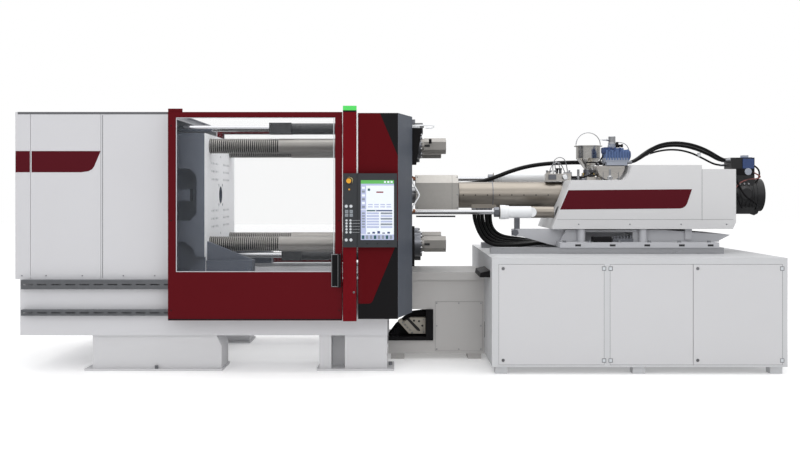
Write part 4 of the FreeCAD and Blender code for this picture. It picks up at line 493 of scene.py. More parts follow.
ends = Piece("hose_ferrules", "injection_unit", "zinc", 0.0008)
for name, node, route, diameter, length in HOSES:
    for tip, inner in ((route[0], route[1]), (route[-1], route[-2])):
        away = (Vector(inner) - Vector(tip)).normalized()
        radius = diameter / 2
        ends.lathe(
            tip, away,
            [(0, radius * 1.2), (0.03, radius * 1.2), (0.034, radius * 1.08), (0.05, radius * 1.08)],
            ZINC,
        )
        ends.lathe(tip, away, [(0, radius * 1.34), (0.012, radius * 1.34)], CHROME, sides=6)
for x, z in ((2.24, 1.838), (2.71, 1.822)):
    ends.box((x - 0.008, 0.02, z - 0.006), (x + 0.008, 0.09, z + 0.03), TRIM_WHITE)
ends.done()


# ---------------------------------------------------------------- clamp covers
stripes = Piece("clamp_stripes", "root", "door_red", 0.0003)
stripes.plate(
    [(-3.253, 1.646), (-3.134, 1.646), (-3.134, 1.822), (-3.253, 1.822)], -COVER_Y - 0.001,
    -COVER_Y + 0.001, STRIPE,
)
nose = [(-2.548, 1.822), (-2.601, 1.6965), (-2.618, 1.672), (-2.648, 1.655), (-2.709, 1.646)]
stripes.plate([(-3.12, 1.646), (-3.12, 1.822), *nose], -COVER_Y - 0.001, -COVER_Y + 0.001, STRIPE)
stripes.box((-3.235, -COVER_Y - 0.001, 2.126), (-1.94, -COVER_Y + 0.001, 2.1455), SEAM)
stripes.done()

seams = Piece("cover_trims", "root", "cover_white", 0.0006)
for side in SIDES:
    near, far = trim_depth(side, COVER_Y)
    seams.box((-2.5342, near, 0.77), (-2.5298, far, 2.12), SEAM)
    for x in (-3.2, -3.0, -2.7, -2.36, -2.1, -1.98):
        seams.rod((x, side * 0.952, 0.79), (x, side * 0.9485, 0.79), 0.006, ZINC)
for n in range(9):
    z = 1.0 + n * 0.035
    seams.box((-3.2552, -0.3, z), (-3.2535, 0.3, z + 0.012), SLOT)
for y in (-0.86, 0.86):
    for z in (0.85, 1.45, 2.05):
        seams.rod((-3.2552, y, z), (-3.252, y, z), 0.009, ZINC)
seams.frame((-2.9, 1.0), (-2.65, 1.24), 0.012, 0.9492, 0.9508, SEAM)
for n in range(8):
    z = 1.03 + n * 0.024
    seams.box((-2.87, 0.9492, z), (-2.68, 0.9508, z + 0.009), SLOT)
seams.done()

# ---------------------------------------------------------------- guard doors
for name, body, near, far, outer in (
    ("front_door_trim", "front_guard_door", -1.0985, -1.0865, -1.1002),
    ("rear_door_trim", "rear_guard_door", 1.0865, 1.0985, 1.1002),
):
    trim = Piece(name, body, "black_paint")
    trim.frame((-1.891, 0.832), (-0.606, 2.088), 0.005, near, far, KEY_LIGHT)
    low, high = sorted((outer, near))
    trim.box((-1.9535, low, 0.4405), (-0.5435, high, 0.452), BLACK)
    for x in (-1.93, -0.566):
        for z in (0.52, 1.25, 2.02):
            trim.rod((x, outer, z), (x, near, z), 0.006, BLACK, sides=12)
    trim.done()

# ---------------------------------------------------------------- operator side
fascia = Piece("housing_fascia", "root", "housing_red", 0.0006)
bend = [(-0.33, 0.575), (-0.312, 0.578), (-0.3, 0.587), (-0.291, 0.6)]
fascia.plate(
    [
        (-0.4095, 0.575), *bend, (-0.094, 1.075), (-0.087, 1.1), (-0.087, 1.775), (-0.233, 2.1235),
        (-0.4095, 2.1235),
    ],
    HOUSING_Y - 0.002, HOUSING_Y + 0.001, FASCIA_RED,
)
# painted highlight: a thin strip of lighter slate on the housing's edge
fascia.box((-0.0875, HOUSING_Y + 0.001, 0.46), (-0.0845, HOUSING_Y + 0.012, 2.12), SLATE_EDGE_HIGHLIGHT)
fascia.done()

post = Piece("post_trim", "root", "cover_white", 0.0006)
post.box((-0.5365, -1.108, 1.15), (-0.5335, -1.07, 2.13), TRIM_WHITE)
post.box((-0.4235, -1.105, 1.636), (-0.4115, -1.0, 2.123), TRIM_WHITE)
post.box((-0.5335, -1.1205, 2.131), (-0.4235, -1.1195, 2.1445), BLACK)
post.lathe((-0.444, -1.1215, 0.669), (0, 1, 0), [(0, 0.009), (0.003, 0.009)], CHROME)
post.box((-0.4455, -1.1222, 0.663), (-0.4425, -1.1212, 0.675), SLOT)
for z in (0.5, 0.98):
    post.lathe((-0.478, -1.1215, z), (0, 1, 0), [(0, 0.007), (0.003, 0.008)], POST_RED)
post.done()

lamp = Piece("status_light_lens", "root", "lamp_green", 0.002)
lamp.box((-0.531, -1.119, 2.146), (-0.426, -1.061, 2.1815), GREEN)
for n in range(6):
    x = -0.524 + n * 0.0175
    lamp.box((x, -1.1198, 2.148), (x + 0.004, -1.0602, 2.1805), GREEN)
lamp.done()

keys = Piece("panel_keys", "root", "panel_dark", 0.0006)
keys.lathe(
    (-0.4806, PANEL_Y - 0.003, 1.5736), (0, 1, 0), [(0, 0.028), (0.001, 0.0295), (0.004, 0.03)], CREAM,
    sides=36,
)
keys.lathe((-0.4806, PANEL_Y - 0.0012, 1.503), (0, 1, 0), [(0, 0.007), (0.002, 0.0075)], AMBER)
for x in (-0.504, -0.466):
    for z in (1.095, 1.367):
        keys.lathe((x, PANEL_Y - 0.001, z), (0, 1, 0), [(0, 0.0145), (0.002, 0.0155)], CHROME, sides=32)
for x in (-0.501, -0.464):
    for z in (1.325, 1.295):
        keys.box(
            (x - 0.013, PANEL_Y - 0.0015, z - 0.0125), (x + 0.013, PANEL_Y + 0.001, z + 0.0125),
            KEY_MID,
        )
        keys.box(
            (x - 0.0075, PANEL_Y - 0.0018, z - 0.001), (x + 0.0075, PANEL_Y - 0.0014, z + 0.001),
            KEY_DARK,
        )
for row in range(5):
    z = 1.2525 - row * 0.024
    for column in range(2):
        x = -0.502 + column * 0.032
        keys.lathe((x, PANEL_Y - 0.0015, z), (0, 1, 0), [(0, 0.009), (0.0025, 0.0095)], KEY_LIGHT)
    keys.box((-0.456, PANEL_Y - 0.0004, z - 0.0008), (-0.394, PANEL_Y + 0.001, z + 0.0008), KEY_LIGHT)
    keys.box((-0.395, PANEL_Y - 0.0012, z - 0.006), (-0.389, PANEL_Y + 0.001, z + 0.006), KEY_DARK)
for x in (-0.336, -0.253, -0.17):
    keys.lathe((x, PANEL_Y - 0.001, 1.066), (0, 1, 0), [(0, 0.006), (0.002, 0.0065)], KEY_DARK)
keys.done()

SCREEN_LEFT, SCREEN_TOP = -0.387, 1.578
SCREEN_WIDE, SCREEN_HIGH = 0.268, 0.483
display = Piece("panel_display", "root", "screen_face", 0.0001)


def field(left, right, top, bottom, made, step=0):
    """Rectangle on the display, placed by fractions of its width and height."""
    display.box(
        (
            SCREEN_LEFT + left * SCREEN_WIDE, SCREEN_Y - 0.0004 - step * 0.0002,
            SCREEN_TOP - bottom * SCREEN_HIGH,
        ),
        (SCREEN_LEFT + right * SCREEN_WIDE, SCREEN_Y, SCREEN_TOP - top * SCREEN_HIGH),
        made,
    )


field(0.0, 1.0, 0.0, 0.06, SCREEN_GREEN)
field(0.0, 1.0, 0.06, 0.09, SCREEN_LILAC)
for n in range(3):
    field(0.7 + n * 0.1, 0.76 + n * 0.1, 0.015, 0.045, SCREEN_BASE, 1)
field(0.0, 0.16, 0.09, 0.49, SCREEN_LILAC)
for n in range(6):
    field(0.035, 0.125, 0.11 + n * 0.064, 0.145 + n * 0.064, SCREEN_GREY if n % 2 else SCREEN_BASE, 1)
field(0.21, 0.28, 0.14, 0.18, SCREEN_TEAL)
field(0.47, 0.68, 0.19, 0.212, SCREEN_RED)
for n in range(4):
    field(0.22 + n * 0.185, 0.36 + n * 0.185, 0.40, 0.418, SCREEN_LILAC)
    field(0.22 + n * 0.185, 0.36 + n * 0.185, 0.438, 0.456, SCREEN_LILAC)
field(0.18, 0.44, 0.50, 0.522, SCREEN_TEAL)
field(0.46, 0.95, 0.50, 0.522, SCREEN_NAVY)
field(0.0, 0.16, 0.50, 0.90, SCREEN_LILAC)
for n in range(6):
    top = 0.54 + n * 0.046
    field(0.18, 0.55, top, top + 0.03, SCREEN_LILAC)
    field(0.60, 0.95, top, top + 0.03, SCREEN_LILAC if n % 2 else SCREEN_GREY)
    field(0.035, 0.125, top, top + 0.026, SCREEN_GREY, 1)
for n in range(5):
    field(0.2 + n * 0.15, 0.28 + n * 0.15, 0.90 - 0.012 * (n % 3 + 2), 0.895, SCREEN_NAVY)
field(0.0, 1.0, 0.91, 1.0, SCREEN_LILAC)
for n in range(8):
    field(0.03 + n * 0.12, 0.11 + n * 0.12, 0.925, 0.985, SCREEN_GREY if n % 3 else SCREEN_TEAL, 1)
display.done()

# ---------------------------------------------------------------- fixed platen side
pipes = Piece("platen_fittings", "root", "black_paint", 0.0008)
pipes.plate([(0.001, 2.028), (0.118, 2.028), (0.07, 1.717), (0.03, 1.717)], -0.632, -0.612, BLACK)
pipes.box((-0.02, -0.66, 2.071), (0.06, -0.6, 2.106), GROUND)
pipes.box((0.0, -0.64, 2.037), (0.13, -0.622, 2.063), TRIM_WHITE)
for z in (1.6, 1.32):
    pipes.lathe(
        (0.012, -0.62, z), (1, 0, 0), [(0, 0.022), (0.03, 0.022), (0.034, 0.016), (0.05, 0.016)],
        COPPER, sides=6,
    )
pipes.box((0.012, -0.64, 0.845), (0.055, -0.61, 1.19), BLACK)
pipes.rod((0.1, -0.632, 2.05), (0.135, -0.632, 2.05), 0.014, BLACK)
pipes.rod((0.19, -0.632, 1.9), (0.19, -0.632, 1.94), 0.012, BLACK)
pipes.done()
wires("platen_pipes", "root", TRIM_WHITE, 0.007, [
    [
        (0.034, -0.64, 1.6), (0.036, -0.64, 1.575), (0.046, -0.64, 1.55), (0.09, -0.64, 1.475),
        (0.096, -0.64, 1.458), (0.09, -0.64, 1.44), (0.046, -0.64, 1.37), (0.036, -0.64, 1.345),
        (0.034, -0.64, 1.32),
    ],
    [
        (-0.02, -0.66, 2.05), (0.06, -0.66, 2.05), (0.17, -0.65, 2.058), (0.215, -0.65, 2.06),
        (0.225, -0.65, 2.045), (0.2, -0.65, 2.03), (0.15, -0.65, 2.035),
    ],
])

bolts = Piece("nut_bolt_heads", "root", "zinc", 0.0008)
for side in SIDES:
    near, far = sorted((side * (BAR_Y + 0.0705), side * (BAR_Y + 0.0615)))
    for z in (AXIS_Z - BAR_Z, AXIS_Z + BAR_Z):
        bolts.box((0.142, near, z - 0.009), (0.188, far, z + 0.009), SLOT)
        for n in range(12):
            turn = math.radians(15 + 30 * n)
            at = (0.107, side * BAR_Y + 0.101 * math.cos(turn), z + 0.101 * math.sin(turn))
            bolts.lathe(at, (1, 0, 0), [(0, 0.009), (0.014, 0.009), (0.015, 0.007)], CHROME, sides=12)
bolts.done()

handle = Piece("door_handle_trim_and_highlight", "front_guard_door", "chrome", 0.0008)
handle.frame((-0.6275, 0.7105), (-0.5505, 0.9775), 0.006, -1.1075, -1.1035, CHROME)
# painted highlight: a thin chrome strip down the front of the black grip for the light along its edge
handle.box((-0.573, -1.1548, 0.715), (-0.5685, -1.15, 0.973), CHROME)
handle.done()

# ---------------------------------------------------------------- beneath the platen
chute = Piece("chute_liner", "root", "black_paint", 0.0008)
chute.box((0.16, -0.379, 0.1695), (0.224, -0.2, 0.443), BLACK)
chute.plate(
    [(-0.174, 0.1695), (0.16, 0.1695), (0.16, 0.43), (0.02, 0.41), (-0.11, 0.3), (-0.174, 0.215)],
    -0.225, -0.205, BLACK,
)
chute.box((-0.174, -0.379, 0.1695), (0.16, -0.225, 0.2), BLACK)
for n in range(4):
    x = -0.165 + n * 0.022
    chute.box((x, -0.3, 0.2), (x + 0.02, -0.25, 0.215 + n * 0.02), BLACK)
chute.done()

access = Piece("access_trim", "root", "cover_white", 0.0006)
access.frame((0.2425, 0.0745), (0.6625, 0.5115), 0.0025, -0.3625, -0.3605, SEAM)
for x in (0.256, 0.452, 0.648):
    for z in (0.498, 0.297, 0.09):
        if x != 0.452 or z != 0.297:
            access.lathe((x, -0.3642, z), (0, 1, 0), [(0, 0.006), (0.002, 0.007)], ZINC)
access.box((0.6765, -0.41, 0.2), (0.6785, -0.39, 0.34), BLACK)
access.plate([(0.593, 0.774), (0.6785, 0.774), (0.6785, 0.83), (0.6, 0.812)], -0.93, -0.39, BLACK)
access.done()

valves = Piece("valve_blocks", "root", "manifold_beige", 0.002)
valves.plate(
    [(-0.059, 0.314), (0.028, 0.362), (0.158, 0.362), (0.158, 0.218), (0.012, 0.218)], -0.3, -0.235,
    BEIGE,
)
valves.plate([(-0.09, 0.335), (-0.06, 0.352), (0.045, 0.232), (0.012, 0.219)], -0.316, -0.25, BEIGE)
for x, z in ((0.1, 0.33), (0.1, 0.25), (0.13, 0.29), (0.055, 0.335)):
    valves.lathe((x, -0.3015, z), (0, 1, 0), [(0, 0.01), (0.008, 0.01)], SLOT)
valves.plate([(-0.015, 0.352), (0.01, 0.358), (0.105, 0.262), (0.085, 0.245)], -0.3035, -0.299, SLOT)
for n in range(5):
    x, z = -0.045 + n * 0.021, 0.322 - n * 0.023
    valves.lathe((x, -0.3195, z), (0, 1, 0), [(0, 0.008), (0.005, 0.008)], ZINC, sides=6)
for x, z in ((0.14, 0.345), (0.14, 0.235), (0.03, 0.235)):
    valves.lathe((x, -0.304, z), (0, 1, 0), [(0, 0.006), (0.005, 0.006)], ZINC, sides=6)
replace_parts(valves.done(), "valve_manifold")

# ---------------------------------------------------------------- barrel
shroud = Piece("shroud_trim", "injection_unit", "stainless", 0.0008)
shroud.lathe(
    (0.776, 0, AXIS_Z), (1, 0, 0),
    [(0, 0.1232), (0.001, SHROUD_RADIUS), (0.007, SHROUD_RADIUS), (0.008, 0.1232)], GROUND, sides=64,
)
for n in range(8):
    x = 0.508 + n * 0.1105
    shroud.lathe((x, -SHROUD_RADIUS, AXIS_Z), (0, 1, 0), [(0, 0.0055), (0.004, 0.0065)], SLOT, sides=12)
shroud.box((0.075, -0.2015, 1.258), (0.43, -0.196, 1.272), BLACK)
for z in (1.345, 1.46, 1.62):
    for x in (0.086, 0.447):
        shroud.lathe((x, -0.2015, z), (0, 1, 0), [(0, 0.005), (0.0016, 0.006)], ZINC, sides=12)
shroud.box((0.4, -0.2008, 1.33), (0.402, -0.1995, 1.6385), SEAM)
shroud.done()

sleeves = Piece("traverse_sleeves", "injection_unit", "cover_white")
FRONT_ROD = (-0.3, AXIS_Z - 0.153)
REAR_ROD = (0.3, AXIS_Z + 0.153)
for y, z, right in ((*FRONT_ROD, 1.1), (*REAR_ROD, 1.48)):
    sleeves.lathe((0.77, y, z), (1, 0, 0), [(0, 0.044), (0.046, 0.044)], GROUND, sides=6)
    sleeves.lathe(
        (0.821, y, z), (1, 0, 0),
        [(0, 0.0615), (0.006, 0.0635), (0.05, 0.0635), (0.056, 0.06), (0.08, 0.06), (0.084, 0.0535)],
        TRIM_WHITE, sides=48,
    )
    sleeves.lathe((0.88, y, z), (1, 0, 0), [(0, 0.0528), (right - 0.88, 0.0528)], TRIM_WHITE, sides=48)
tongue = arc((1.1, FRONT_ROD[1]), 0.044, 90, -90, 10)
sleeves.plate(tongue, FRONT_ROD[0] - 0.0535, FRONT_ROD[0] - 0.028, TRIM_WHITE)
sleeves.done()

fittings = Piece("barrel_valves", "injection_unit", "stainless")
fittings.box((1.266, -0.08, 1.585), (1.498, 0.0, 1.655), STAINLESS)
fittings.box((1.29, -0.095, 1.6), (1.36, -0.08, 1.645), GROUND)
fittings.box((1.275, -0.07, 1.655), (1.31, -0.03, 1.68), STAINLESS)
fittings.lathe(
    (1.44, -0.105, 1.622), (0, 1, 0), [(0, 0.022), (0.002, 0.027), (0.022, 0.027), (0.026, 0.02)],
    CHROME, sides=32,
)
fittings.lathe((1.44, -0.1065, 1.622), (0, 1, 0), [(0, 0.019), (0.002, 0.02)], TRIM_WHITE, sides=32)
for x in (1.375, 1.405):
    fittings.lathe(
        (x, -0.04, 1.655), (0, 0, 1), [(0, 0.012), (0.035, 0.012), (0.037, 0.016), (0.05, 0.016)],
        BLACK,
    )
for x in (1.275, 1.31, 1.35, 1.48):
    fittings.lathe((x, -0.085, 1.665), (0, 0, 1), [(0, 0.009), (0.02, 0.009)], CHROME, sides=6)
fittings.rod((1.5, -0.06, 1.62), (1.6, -0.06, 1.62), 0.012, BLACK)
fittings.rod((1.5, -0.02, 1.6), (1.62, -0.02, 1.6), 0.016, GROUND)
fittings.done()
wires("barrel_wires", "injection_unit", STEEL, 0.004, [
    [
        (1.34, -0.05, 1.65), (1.33, -0.05, 1.72), (1.35, -0.05, 1.79), (1.41, -0.05, 1.81),
        (1.46, -0.05, 1.77), (1.47, -0.05, 1.66),
    ],
    [
        (1.3, -0.03, 1.65), (1.32, -0.03, 1.72), (1.36, -0.03, 1.76), (1.42, -0.03, 1.75),
        (1.45, -0.03, 1.66),
    ],
    [
        (1.37, -0.09, 1.66), (1.345, -0.09, 1.7), (1.355, -0.09, 1.78), (1.395, -0.09, 1.72),
        (1.4, -0.09, 1.66),
    ],
])

# ---------------------------------------------------------------- hopper and conveying unit
feed = Piece("feed_fittings", "injection_unit", "stainless")
feed.lathe(
    (1.669, 0, 1.592), (0, 0, 1),
    [(0, 0.072), (0.014, 0.072), (0.018, 0.062), (0.05, 0.062), (0.054, 0.046), (0.1, 0.046)], GROUND,
    sides=40,
)
for n in range(6):
    a = math.radians(30 + 60 * n)
    feed.lathe(
        (1.669 + 0.056 * math.cos(a), 0.056 * math.sin(a), 1.61), (0, 0, 1),
        [(0, 0.008), (0.052, 0.008)], BRASS if n % 2 else CHROME, sides=6,
    )
feed.lathe(
    (1.56, -0.1, 1.592), (0, 0, 1), [(0, 0.016), (0.03, 0.016), (0.032, 0.011), (0.1, 0.011)], CHROME,
)
feed.lathe((1.585, -0.14, 1.6), (1, 0, 0), [(0, 0.013), (0.1, 0.013)], GROUND)
feed.box((1.62, -0.2, 1.592), (1.76, -0.1, 1.622), STAINLESS)
feed.lathe(
    (1.8, -0.34, 1.61), (0, 1, 0), [(0, 0.012), (0.006, 0.022), (0.03, 0.024), (0.05, 0.016)], CHROME,
    sides=32,
)
feed.lathe((1.775, -0.32, 1.61), (1, 0, 0), [(0, 0.014), (0.05, 0.014)], CHROME, sides=6)
feed.box((1.79, -0.334, 1.625), (1.81, -0.318, 1.69), CHROME)
for x, z in ((1.73, 1.65), (1.745, 1.7), (1.72, 1.74), (1.71, 1.61)):
    feed.lathe((x, -0.2, z), (0, 1, 0), [(0, 0.01), (0.01, 0.014), (0.06, 0.014)], BLACK, sides=16)
    feed.lathe((x, -0.212, z), (0, 1, 0), [(0, 0.008), (0.014, 0.008)], CHROME, sides=6)
feed.done()
wires("feed_cables", "injection_unit", RUBBER, 0.0065, [
    [
        (1.5, -0.06, 1.62), (1.58, -0.08, 1.612), (1.66, -0.16, 1.64), (1.715, -0.2, 1.7),
        (1.74, -0.2, 1.78), (1.78, -0.2, 1.83),
    ],
    [
        (1.62, -0.18, 1.622), (1.68, -0.22, 1.63), (1.73, -0.24, 1.65), (1.745, -0.24, 1.72),
        (1.8, -0.24, 1.75),
    ],
    [(1.76, -0.2, 1.74), (1.7, -0.18, 1.76), (1.62, -0.15, 1.75)],
])

unit = Piece("conveyor_unit", "injection_unit", "unit_blue", 0.0015)
cup = arc((1.808, 1.718), 0.1255, 180, 360, 28)
unit.plate(cup, -0.33, -0.13, STAINLESS)
unit.box((1.77, -0.3305, 1.7155), (1.925, -0.129, 1.722), BLACK)
unit.box((1.775, -0.328, 1.7215), (1.955, -0.132, 1.752), UNIT_GREY)
unit.box((1.765, -0.32, 1.75), (1.975, -0.14, 1.79), UNIT_GREY)
unit.box((1.77, -0.318, 1.79), (1.97, -0.142, 1.862), BLUE)
for n in range(9):
    x = 1.768 + n * 0.0245
    unit.box((x, -0.3295, 1.77), (x + 0.009, -0.1305, 1.852), BLUE)
unit.box((1.755, -0.3, 1.835), (1.83, -0.16, 1.885), BLUE_DEEP)
unit.box((1.845, -0.3, 1.84), (1.93, -0.16, 1.878), BLUE)
unit.lathe(
    (1.975, -0.23, 1.82), (1, 0, 0), [(0, 0.05), (0.015, 0.05), (0.022, 0.035), (0.028, 0.035)],
    BLUE_DEEP,
)
for x in (1.79, 1.838, 1.886):
    unit.box((x, -0.3298, 1.845), (x + 0.012, -0.31, 1.882), BLUE_DEEP)
unit.lathe(
    (1.84, -0.225, 1.875), (0, 0, 1), [(0, 0.038), (0.03, 0.038), (0.032, 0.033), (0.045, 0.033)],
    UNIT_GREY, sides=36,
)
unit.lathe(
    (1.84, -0.225, 1.918), (0, 0, 1),
    [(0, 0.036), (0.006, 0.036), (0.008, 0.032), (0.066, 0.032), (0.07, 0.026)], CHROME, sides=40,
)
unit.lathe(
    (1.885, -0.235, 1.885), (0, 0, 1), [(0, 0.02), (0.028, 0.02), (0.03, 0.012), (0.05, 0.012)], BLACK,
)
unit.lathe(
    (1.88, -0.26, 1.9), (1, 0, 0), [(0, 0.011), (0.035, 0.011), (0.037, 0.016), (0.05, 0.016)], BLACK,
)
unit.lathe(
    (1.72, -0.225, 1.955), (1, 0, 0),
    [(0, 0.0022), (0.035, 0.0022), (0.036, 0.006), (0.07, 0.006), (0.072, 0.01), (0.1, 0.01)], CHROME,
    sides=16,
)
unit.box((1.96, -0.129, 1.7225), (2.0045, 0.2395, 1.796), GROUND)
unit.box((1.93, -0.2, 1.7225), (1.962, -0.129, 1.77), STAINLESS)
for y in (-0.075, -0.025, 0.028, 0.078, 0.2):
    unit.lathe(
        (1.97, y, 1.794), (0, 0, 1), [(0, 0.012), (0.012, 0.012), (0.014, 0.008), (0.02, 0.008)],
        CHROME, sides=6,
    )
for x in (1.74, 1.808, 1.876):
    unit.box((x - 0.003, -0.3304, 1.6), (x + 0.003, -0.3, 1.66), GROUND)
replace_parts(unit.done(), "conveying_unit")
wires("unit_tubes", "injection_unit", STEEL, 0.0032, [
    [
        (1.88, -0.23, 1.93), (1.93, -0.23, 1.935), (1.985, -0.22, 1.9), (2.005, -0.2, 1.84),
        (1.99, -0.16, 1.77),
    ],
    [(1.95, -0.28, 1.84), (1.99, -0.27, 1.83), (2.005, -0.24, 1.78), (1.98, -0.2, 1.745)],
])

# ---------------------------------------------------------------- injection cover
marks = Piece("hood_stripe", "injection_unit", "door_red", 0.0003)
end = [(2.496, 1.509), (2.453, 1.383), (2.438, 1.36), (2.418, 1.346), (2.391, 1.339)]
for side in SIDES:
    y = side * HOOD_Y
    marks.plate([(1.336, 1.33), (1.4095, 1.5), *end], y - 0.001, y + 0.001, STRIPE)
marks.done()
hood = Piece("hood_trims", "injection_unit", "cover_white", 0.0005)
for side in SIDES:
    low, high = trim_depth(side, HOOD_Y)
    hood.box((2.5828, low, 1.235), (2.5852, high, 1.684), SEAM)
    hood.box((1.31, low, 1.242), (2.86, high, 1.2438), SEAM)
    for x in (1.5, 1.95, 2.4, 2.8):
        hood.lathe((x, side * 0.4515, 1.2), (0, -side, 0), [(0, 0.006), (0.002, 0.007)], ZINC, sides=12)
hood.frame((2.62, 1.29), (2.84, 1.62), 0.002, 0.4495, 0.4508, SEAM)
for n in range(10):
    z = 1.33 + n * 0.026
    hood.box((2.65, 0.4493, z), (2.81, 0.4508, z + 0.01), SLOT)
hood.done()

# ---------------------------------------------------------------- carriage
gear = Piece("carriage_fittings", "injection_unit", "machined_steel")
gear.lathe((0.955, -0.345, 1.125), (0, 1, 0), [(0, 0.028), (0.004, 0.033), (0.01, 0.036)], GROUND, sides=6)
gear.box((0.952, -0.325, 1.15), (0.998, -0.276, 1.252), GROUND)
gear.lathe((1.5315, -0.4, 1.046), (0, 0, 1), [(0, 0.04), (0.004, 0.036), (0.11, 0.036)], CASTING, sides=32)
gear.lathe((2.075, -0.4, 1.046), (0, 0, 1), [(0, 0.04), (0.004, 0.036), (0.11, 0.036)], CASTING, sides=32)
# painted shade: a black block stands in for the shaded recess under the injection cover
gear.box((1.62, -0.5, 1.046), (1.78, -0.39, 1.09), BLACK)
gear.box((1.8, -0.45, 1.046), (1.98, -0.39, 1.075), GROUND)
for n in range(6):
    gear.rod((1.82 + n * 0.028, -0.43, 1.075), (1.82 + n * 0.028, -0.43, 1.1), 0.01, GROUND, sides=12)
for x in (1.36, 1.58, 1.84, 2.1, 2.36, 2.62):
    for y in (-0.53, 0.53):
        gear.lathe(
            (x, y, 1.044), (0, 0, 1), [(0, 0.018), (0.004, 0.018), (0.005, 0.014), (0.018, 0.014)],
            ZINC, sides=6,
        )
for x in (1.45, 1.75, 2.05, 2.35, 2.6):
    gear.box((x, -0.5612, 1.012), (x + 0.05, -0.558, 1.03), SLOT)
gear.done()

# ---------------------------------------------------------------- drive motor
motor = Piece("motor_details", "injection_unit", "motor_black", 0.0015)
for n in range(8):
    x = 2.945 + n * 0.034
    motor.lathe(
        (x, 0, AXIS_Z), (1, 0, 0), [(0, 0.15), (0.002, 0.156), (0.01, 0.156), (0.012, 0.15)], MOTOR,
        sides=48,
    )
motor.lathe((3.17, 0, 1.33), (1, 0, 0), [(0, 0.05), (0.03, 0.06), (0.06, 0.045)], MOTOR)
motor.lathe((2.96, -0.1, 1.36), (0, -1, 0), [(0, 0.08), (0.03, 0.08), (0.05, 0.05)], MOTOR, sides=36)
motor.lathe((3.08, -0.1, 1.47), (0, -1, 0), [(0, 0.07), (0.035, 0.075), (0.06, 0.05)], MOTOR, sides=36)
motor.box((2.99, -0.125, 1.52), (3.16, -0.09, 1.6), MOTOR)
motor.box((2.975, -0.112, 1.64), (3.16, 0.112, 1.7), BLACK)
motor.box((3.06, -0.114, 1.7), (3.162, 0.04, 1.79), BLUE_DEEP)
motor.box((3.05, -0.1, 1.755), (3.15, 0.02, 1.803), BLUE)
motor.box((3.068, -0.09, 1.8), (3.12, -0.02, 1.822), UNIT_GREY)
motor.lathe(
    (3.11, -0.116, 1.672), (0, 1, 0), [(0, 0.03), (0.004, 0.033), (0.03, 0.033)], UNIT_GREY, sides=32,
)
for x in (2.99, 3.03, 3.07, 3.11):
    motor.lathe((x, -0.128, 1.56), (0, 1, 0), [(0, 0.009), (0.01, 0.011), (0.03, 0.011)], CHROME, sides=6)
for n in range(8):
    a = math.radians(22.5 + 45 * n)
    motor.lathe(
        (2.929, 0.168 * math.cos(a), AXIS_Z + 0.168 * math.sin(a)), (1, 0, 0),
        [(0, 0.013), (0.014, 0.013)], ZINC, sides=6,
    )
motor.done()
wires("motor_cables", "injection_unit", BLACK, 0.008, [
    [(3.0, -0.12, 1.6), (3.02, -0.15, 1.53), (3.06, -0.165, 1.45), (3.14, -0.15, 1.4), (3.2, -0.1, 1.36)],
    [(3.15, -0.06, 1.74), (3.2, -0.07, 1.72), (3.23, -0.08, 1.66), (3.2, -0.09, 1.58), (3.12, -0.12, 1.5)],
    [(2.96, -0.13, 1.52), (3.0, -0.17, 1.47), (3.0, -0.18, 1.38), (3.04, -0.15, 1.34)],
])
wires("motor_cable_red", "injection_unit", CABLE_RED, 0.006, [
    [
        (3.12, -0.1, 1.69), (3.17, -0.1, 1.66), (3.235, -0.1, 1.625), (3.19, -0.1, 1.605),
        (3.1, -0.12, 1.6), (3.02, -0.13, 1.57), (2.97, -0.14, 1.5),
    ],
])

# ---------------------------------------------------------------- base cabinet
hinges = Piece("cabinet_trims", "root", "cover_white", 0.0006)
for x, sign in ((1.588, -1), (1.642, 1), (3.036, -1)):
    for z in (0.86, 0.113):
        hinges.frame(
            (x - 0.0165, z - 0.0165), (x + 0.0165, z + 0.0165), 0.004, -BASE_Y - 0.0018,
            -BASE_Y + 0.0005, SEAM,
        )
        hinges.box(
            (x - 0.0125, -BASE_Y - 0.0008, z - 0.0125), (x + 0.0125, -BASE_Y + 0.0004, z + 0.0125),
            KEY_LIGHT,
        )
for low, high in (((0.7315, 0.0765), (1.5905, 0.8955)), ((1.6365, 0.0765), (3.0395, 0.8955))):
    hinges.frame(low, high, 0.0022, -BASE_Y - 0.0003, -BASE_Y + 0.0008, SEAM)
for n in range(12):
    z = 0.3 + n * 0.03
    hinges.box((3.0785, -0.35, z), (3.0802, 0.35, z + 0.012), SLOT)
for n in range(10):
    z = 0.35 + n * 0.03
    hinges.box((1.2, BASE_Y - 0.0015, z), (1.7, BASE_Y + 0.0002, z + 0.012), SLOT)
    hinges.box((2.1, BASE_Y - 0.0015, z), (2.6, BASE_Y + 0.0002, z + 0.012), SLOT)
hinges.frame((0.8, 0.1), (1.86, 0.86), 0.0022, BASE_Y - 0.0008, BASE_Y + 0.0003, SEAM)
hinges.frame((1.9, 0.1), (2.98, 0.86), 0.0022, BASE_Y - 0.0008, BASE_Y + 0.0003, SEAM)
hinges.done()

# ---------------------------------------------------------------- light, air and floor
scene = bpy.context.scene
scene.view_settings.view_transform = "Standard"

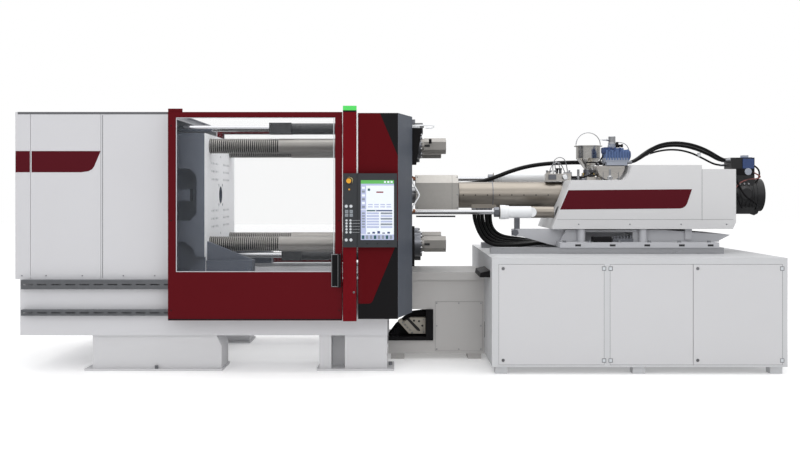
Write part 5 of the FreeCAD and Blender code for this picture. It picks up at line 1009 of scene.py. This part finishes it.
world = bpy.data.worlds.new("studio")
scene.world = world
world.use_nodes = True
sky = world.node_tree
sky.nodes.clear()
place = sky.nodes.new("ShaderNodeTexCoord")
split = sky.nodes.new("ShaderNodeSeparateXYZ")
ramp = sky.nodes.new("ShaderNodeValToRGB")
rise = sky.nodes.new("ShaderNodeMapRange")
rise.inputs["From Min"].default_value = -1.0
shade = sky.nodes.new("ShaderNodeBackground")
white = sky.nodes.new("ShaderNodeBackground")
white.inputs["Color"].default_value = (1, 1, 1, 1)
path = sky.nodes.new("ShaderNodeLightPath")
either = sky.nodes.new("ShaderNodeMixShader")
out = sky.nodes.new("ShaderNodeOutputWorld")
stops = ramp.color_ramp.elements
stops[0].position, stops[0].color = 0.0, (0.12, 0.12, 0.12, 1)
stops[1].position, stops[1].color = 1.0, (1.0, 1.0, 1.0, 1)
for at, value in ((0.42, 0.22), (0.49, 0.42), (0.6, 0.62), (0.8, 0.95)):
    stop = stops.new(at)
    stop.color = (value, value, value * 1.01, 1)
sky.links.new(place.outputs["Generated"], split.inputs["Vector"])
sky.links.new(split.outputs["Z"], rise.inputs["Value"])
sky.links.new(rise.outputs["Result"], ramp.inputs["Fac"])
sky.links.new(ramp.outputs["Color"], shade.inputs["Color"])
sky.links.new(path.outputs["Is Camera Ray"], either.inputs["Fac"])
sky.links.new(shade.outputs["Background"], either.inputs[1])
sky.links.new(white.outputs["Background"], either.inputs[2])
sky.links.new(either.outputs["Shader"], out.inputs["Surface"])

for name, place_at, turn_by, size, power in (
    ("overhead", (0, 0, 5.4), (0, 0, 0), (9, 5), 150),
    ("front", (0, -7.5, 4.6), (math.radians(62), 0, 0), (9, 3), 80),
    ("back", (0, 7.5, 4.6), (math.radians(-62), 0, 0), (9, 3), 60),
):
    lamp_data = bpy.data.lights.new(name, "AREA")
    lamp_data.shape = "RECTANGLE"
    lamp_data.size, lamp_data.size_y = size
    lamp_data.energy = power
    light = bpy.data.objects.new(name, lamp_data)
    light.location = place_at
    light.rotation_euler = turn_by
    scene.collection.objects.link(light)

floor_mesh = bmesh.new()
bmesh.ops.create_grid(floor_mesh, x_segments=4, y_segments=4, size=40)
floor_data = bpy.data.meshes.new("floor")
floor_mesh.to_mesh(floor_data)
floor_mesh.free()
FLOOR = finish("floor_white", (249, 249, 249), 0.8, grain=0.6, vary=0.01, bump=0.0, glow=0.22)
floor_data.materials.append(FLOOR)
floor = bpy.data.objects.new("floor", floor_data)
floor.visible_glossy = False
scene.collection.objects.link(floor)
floor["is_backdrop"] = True

low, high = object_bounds()
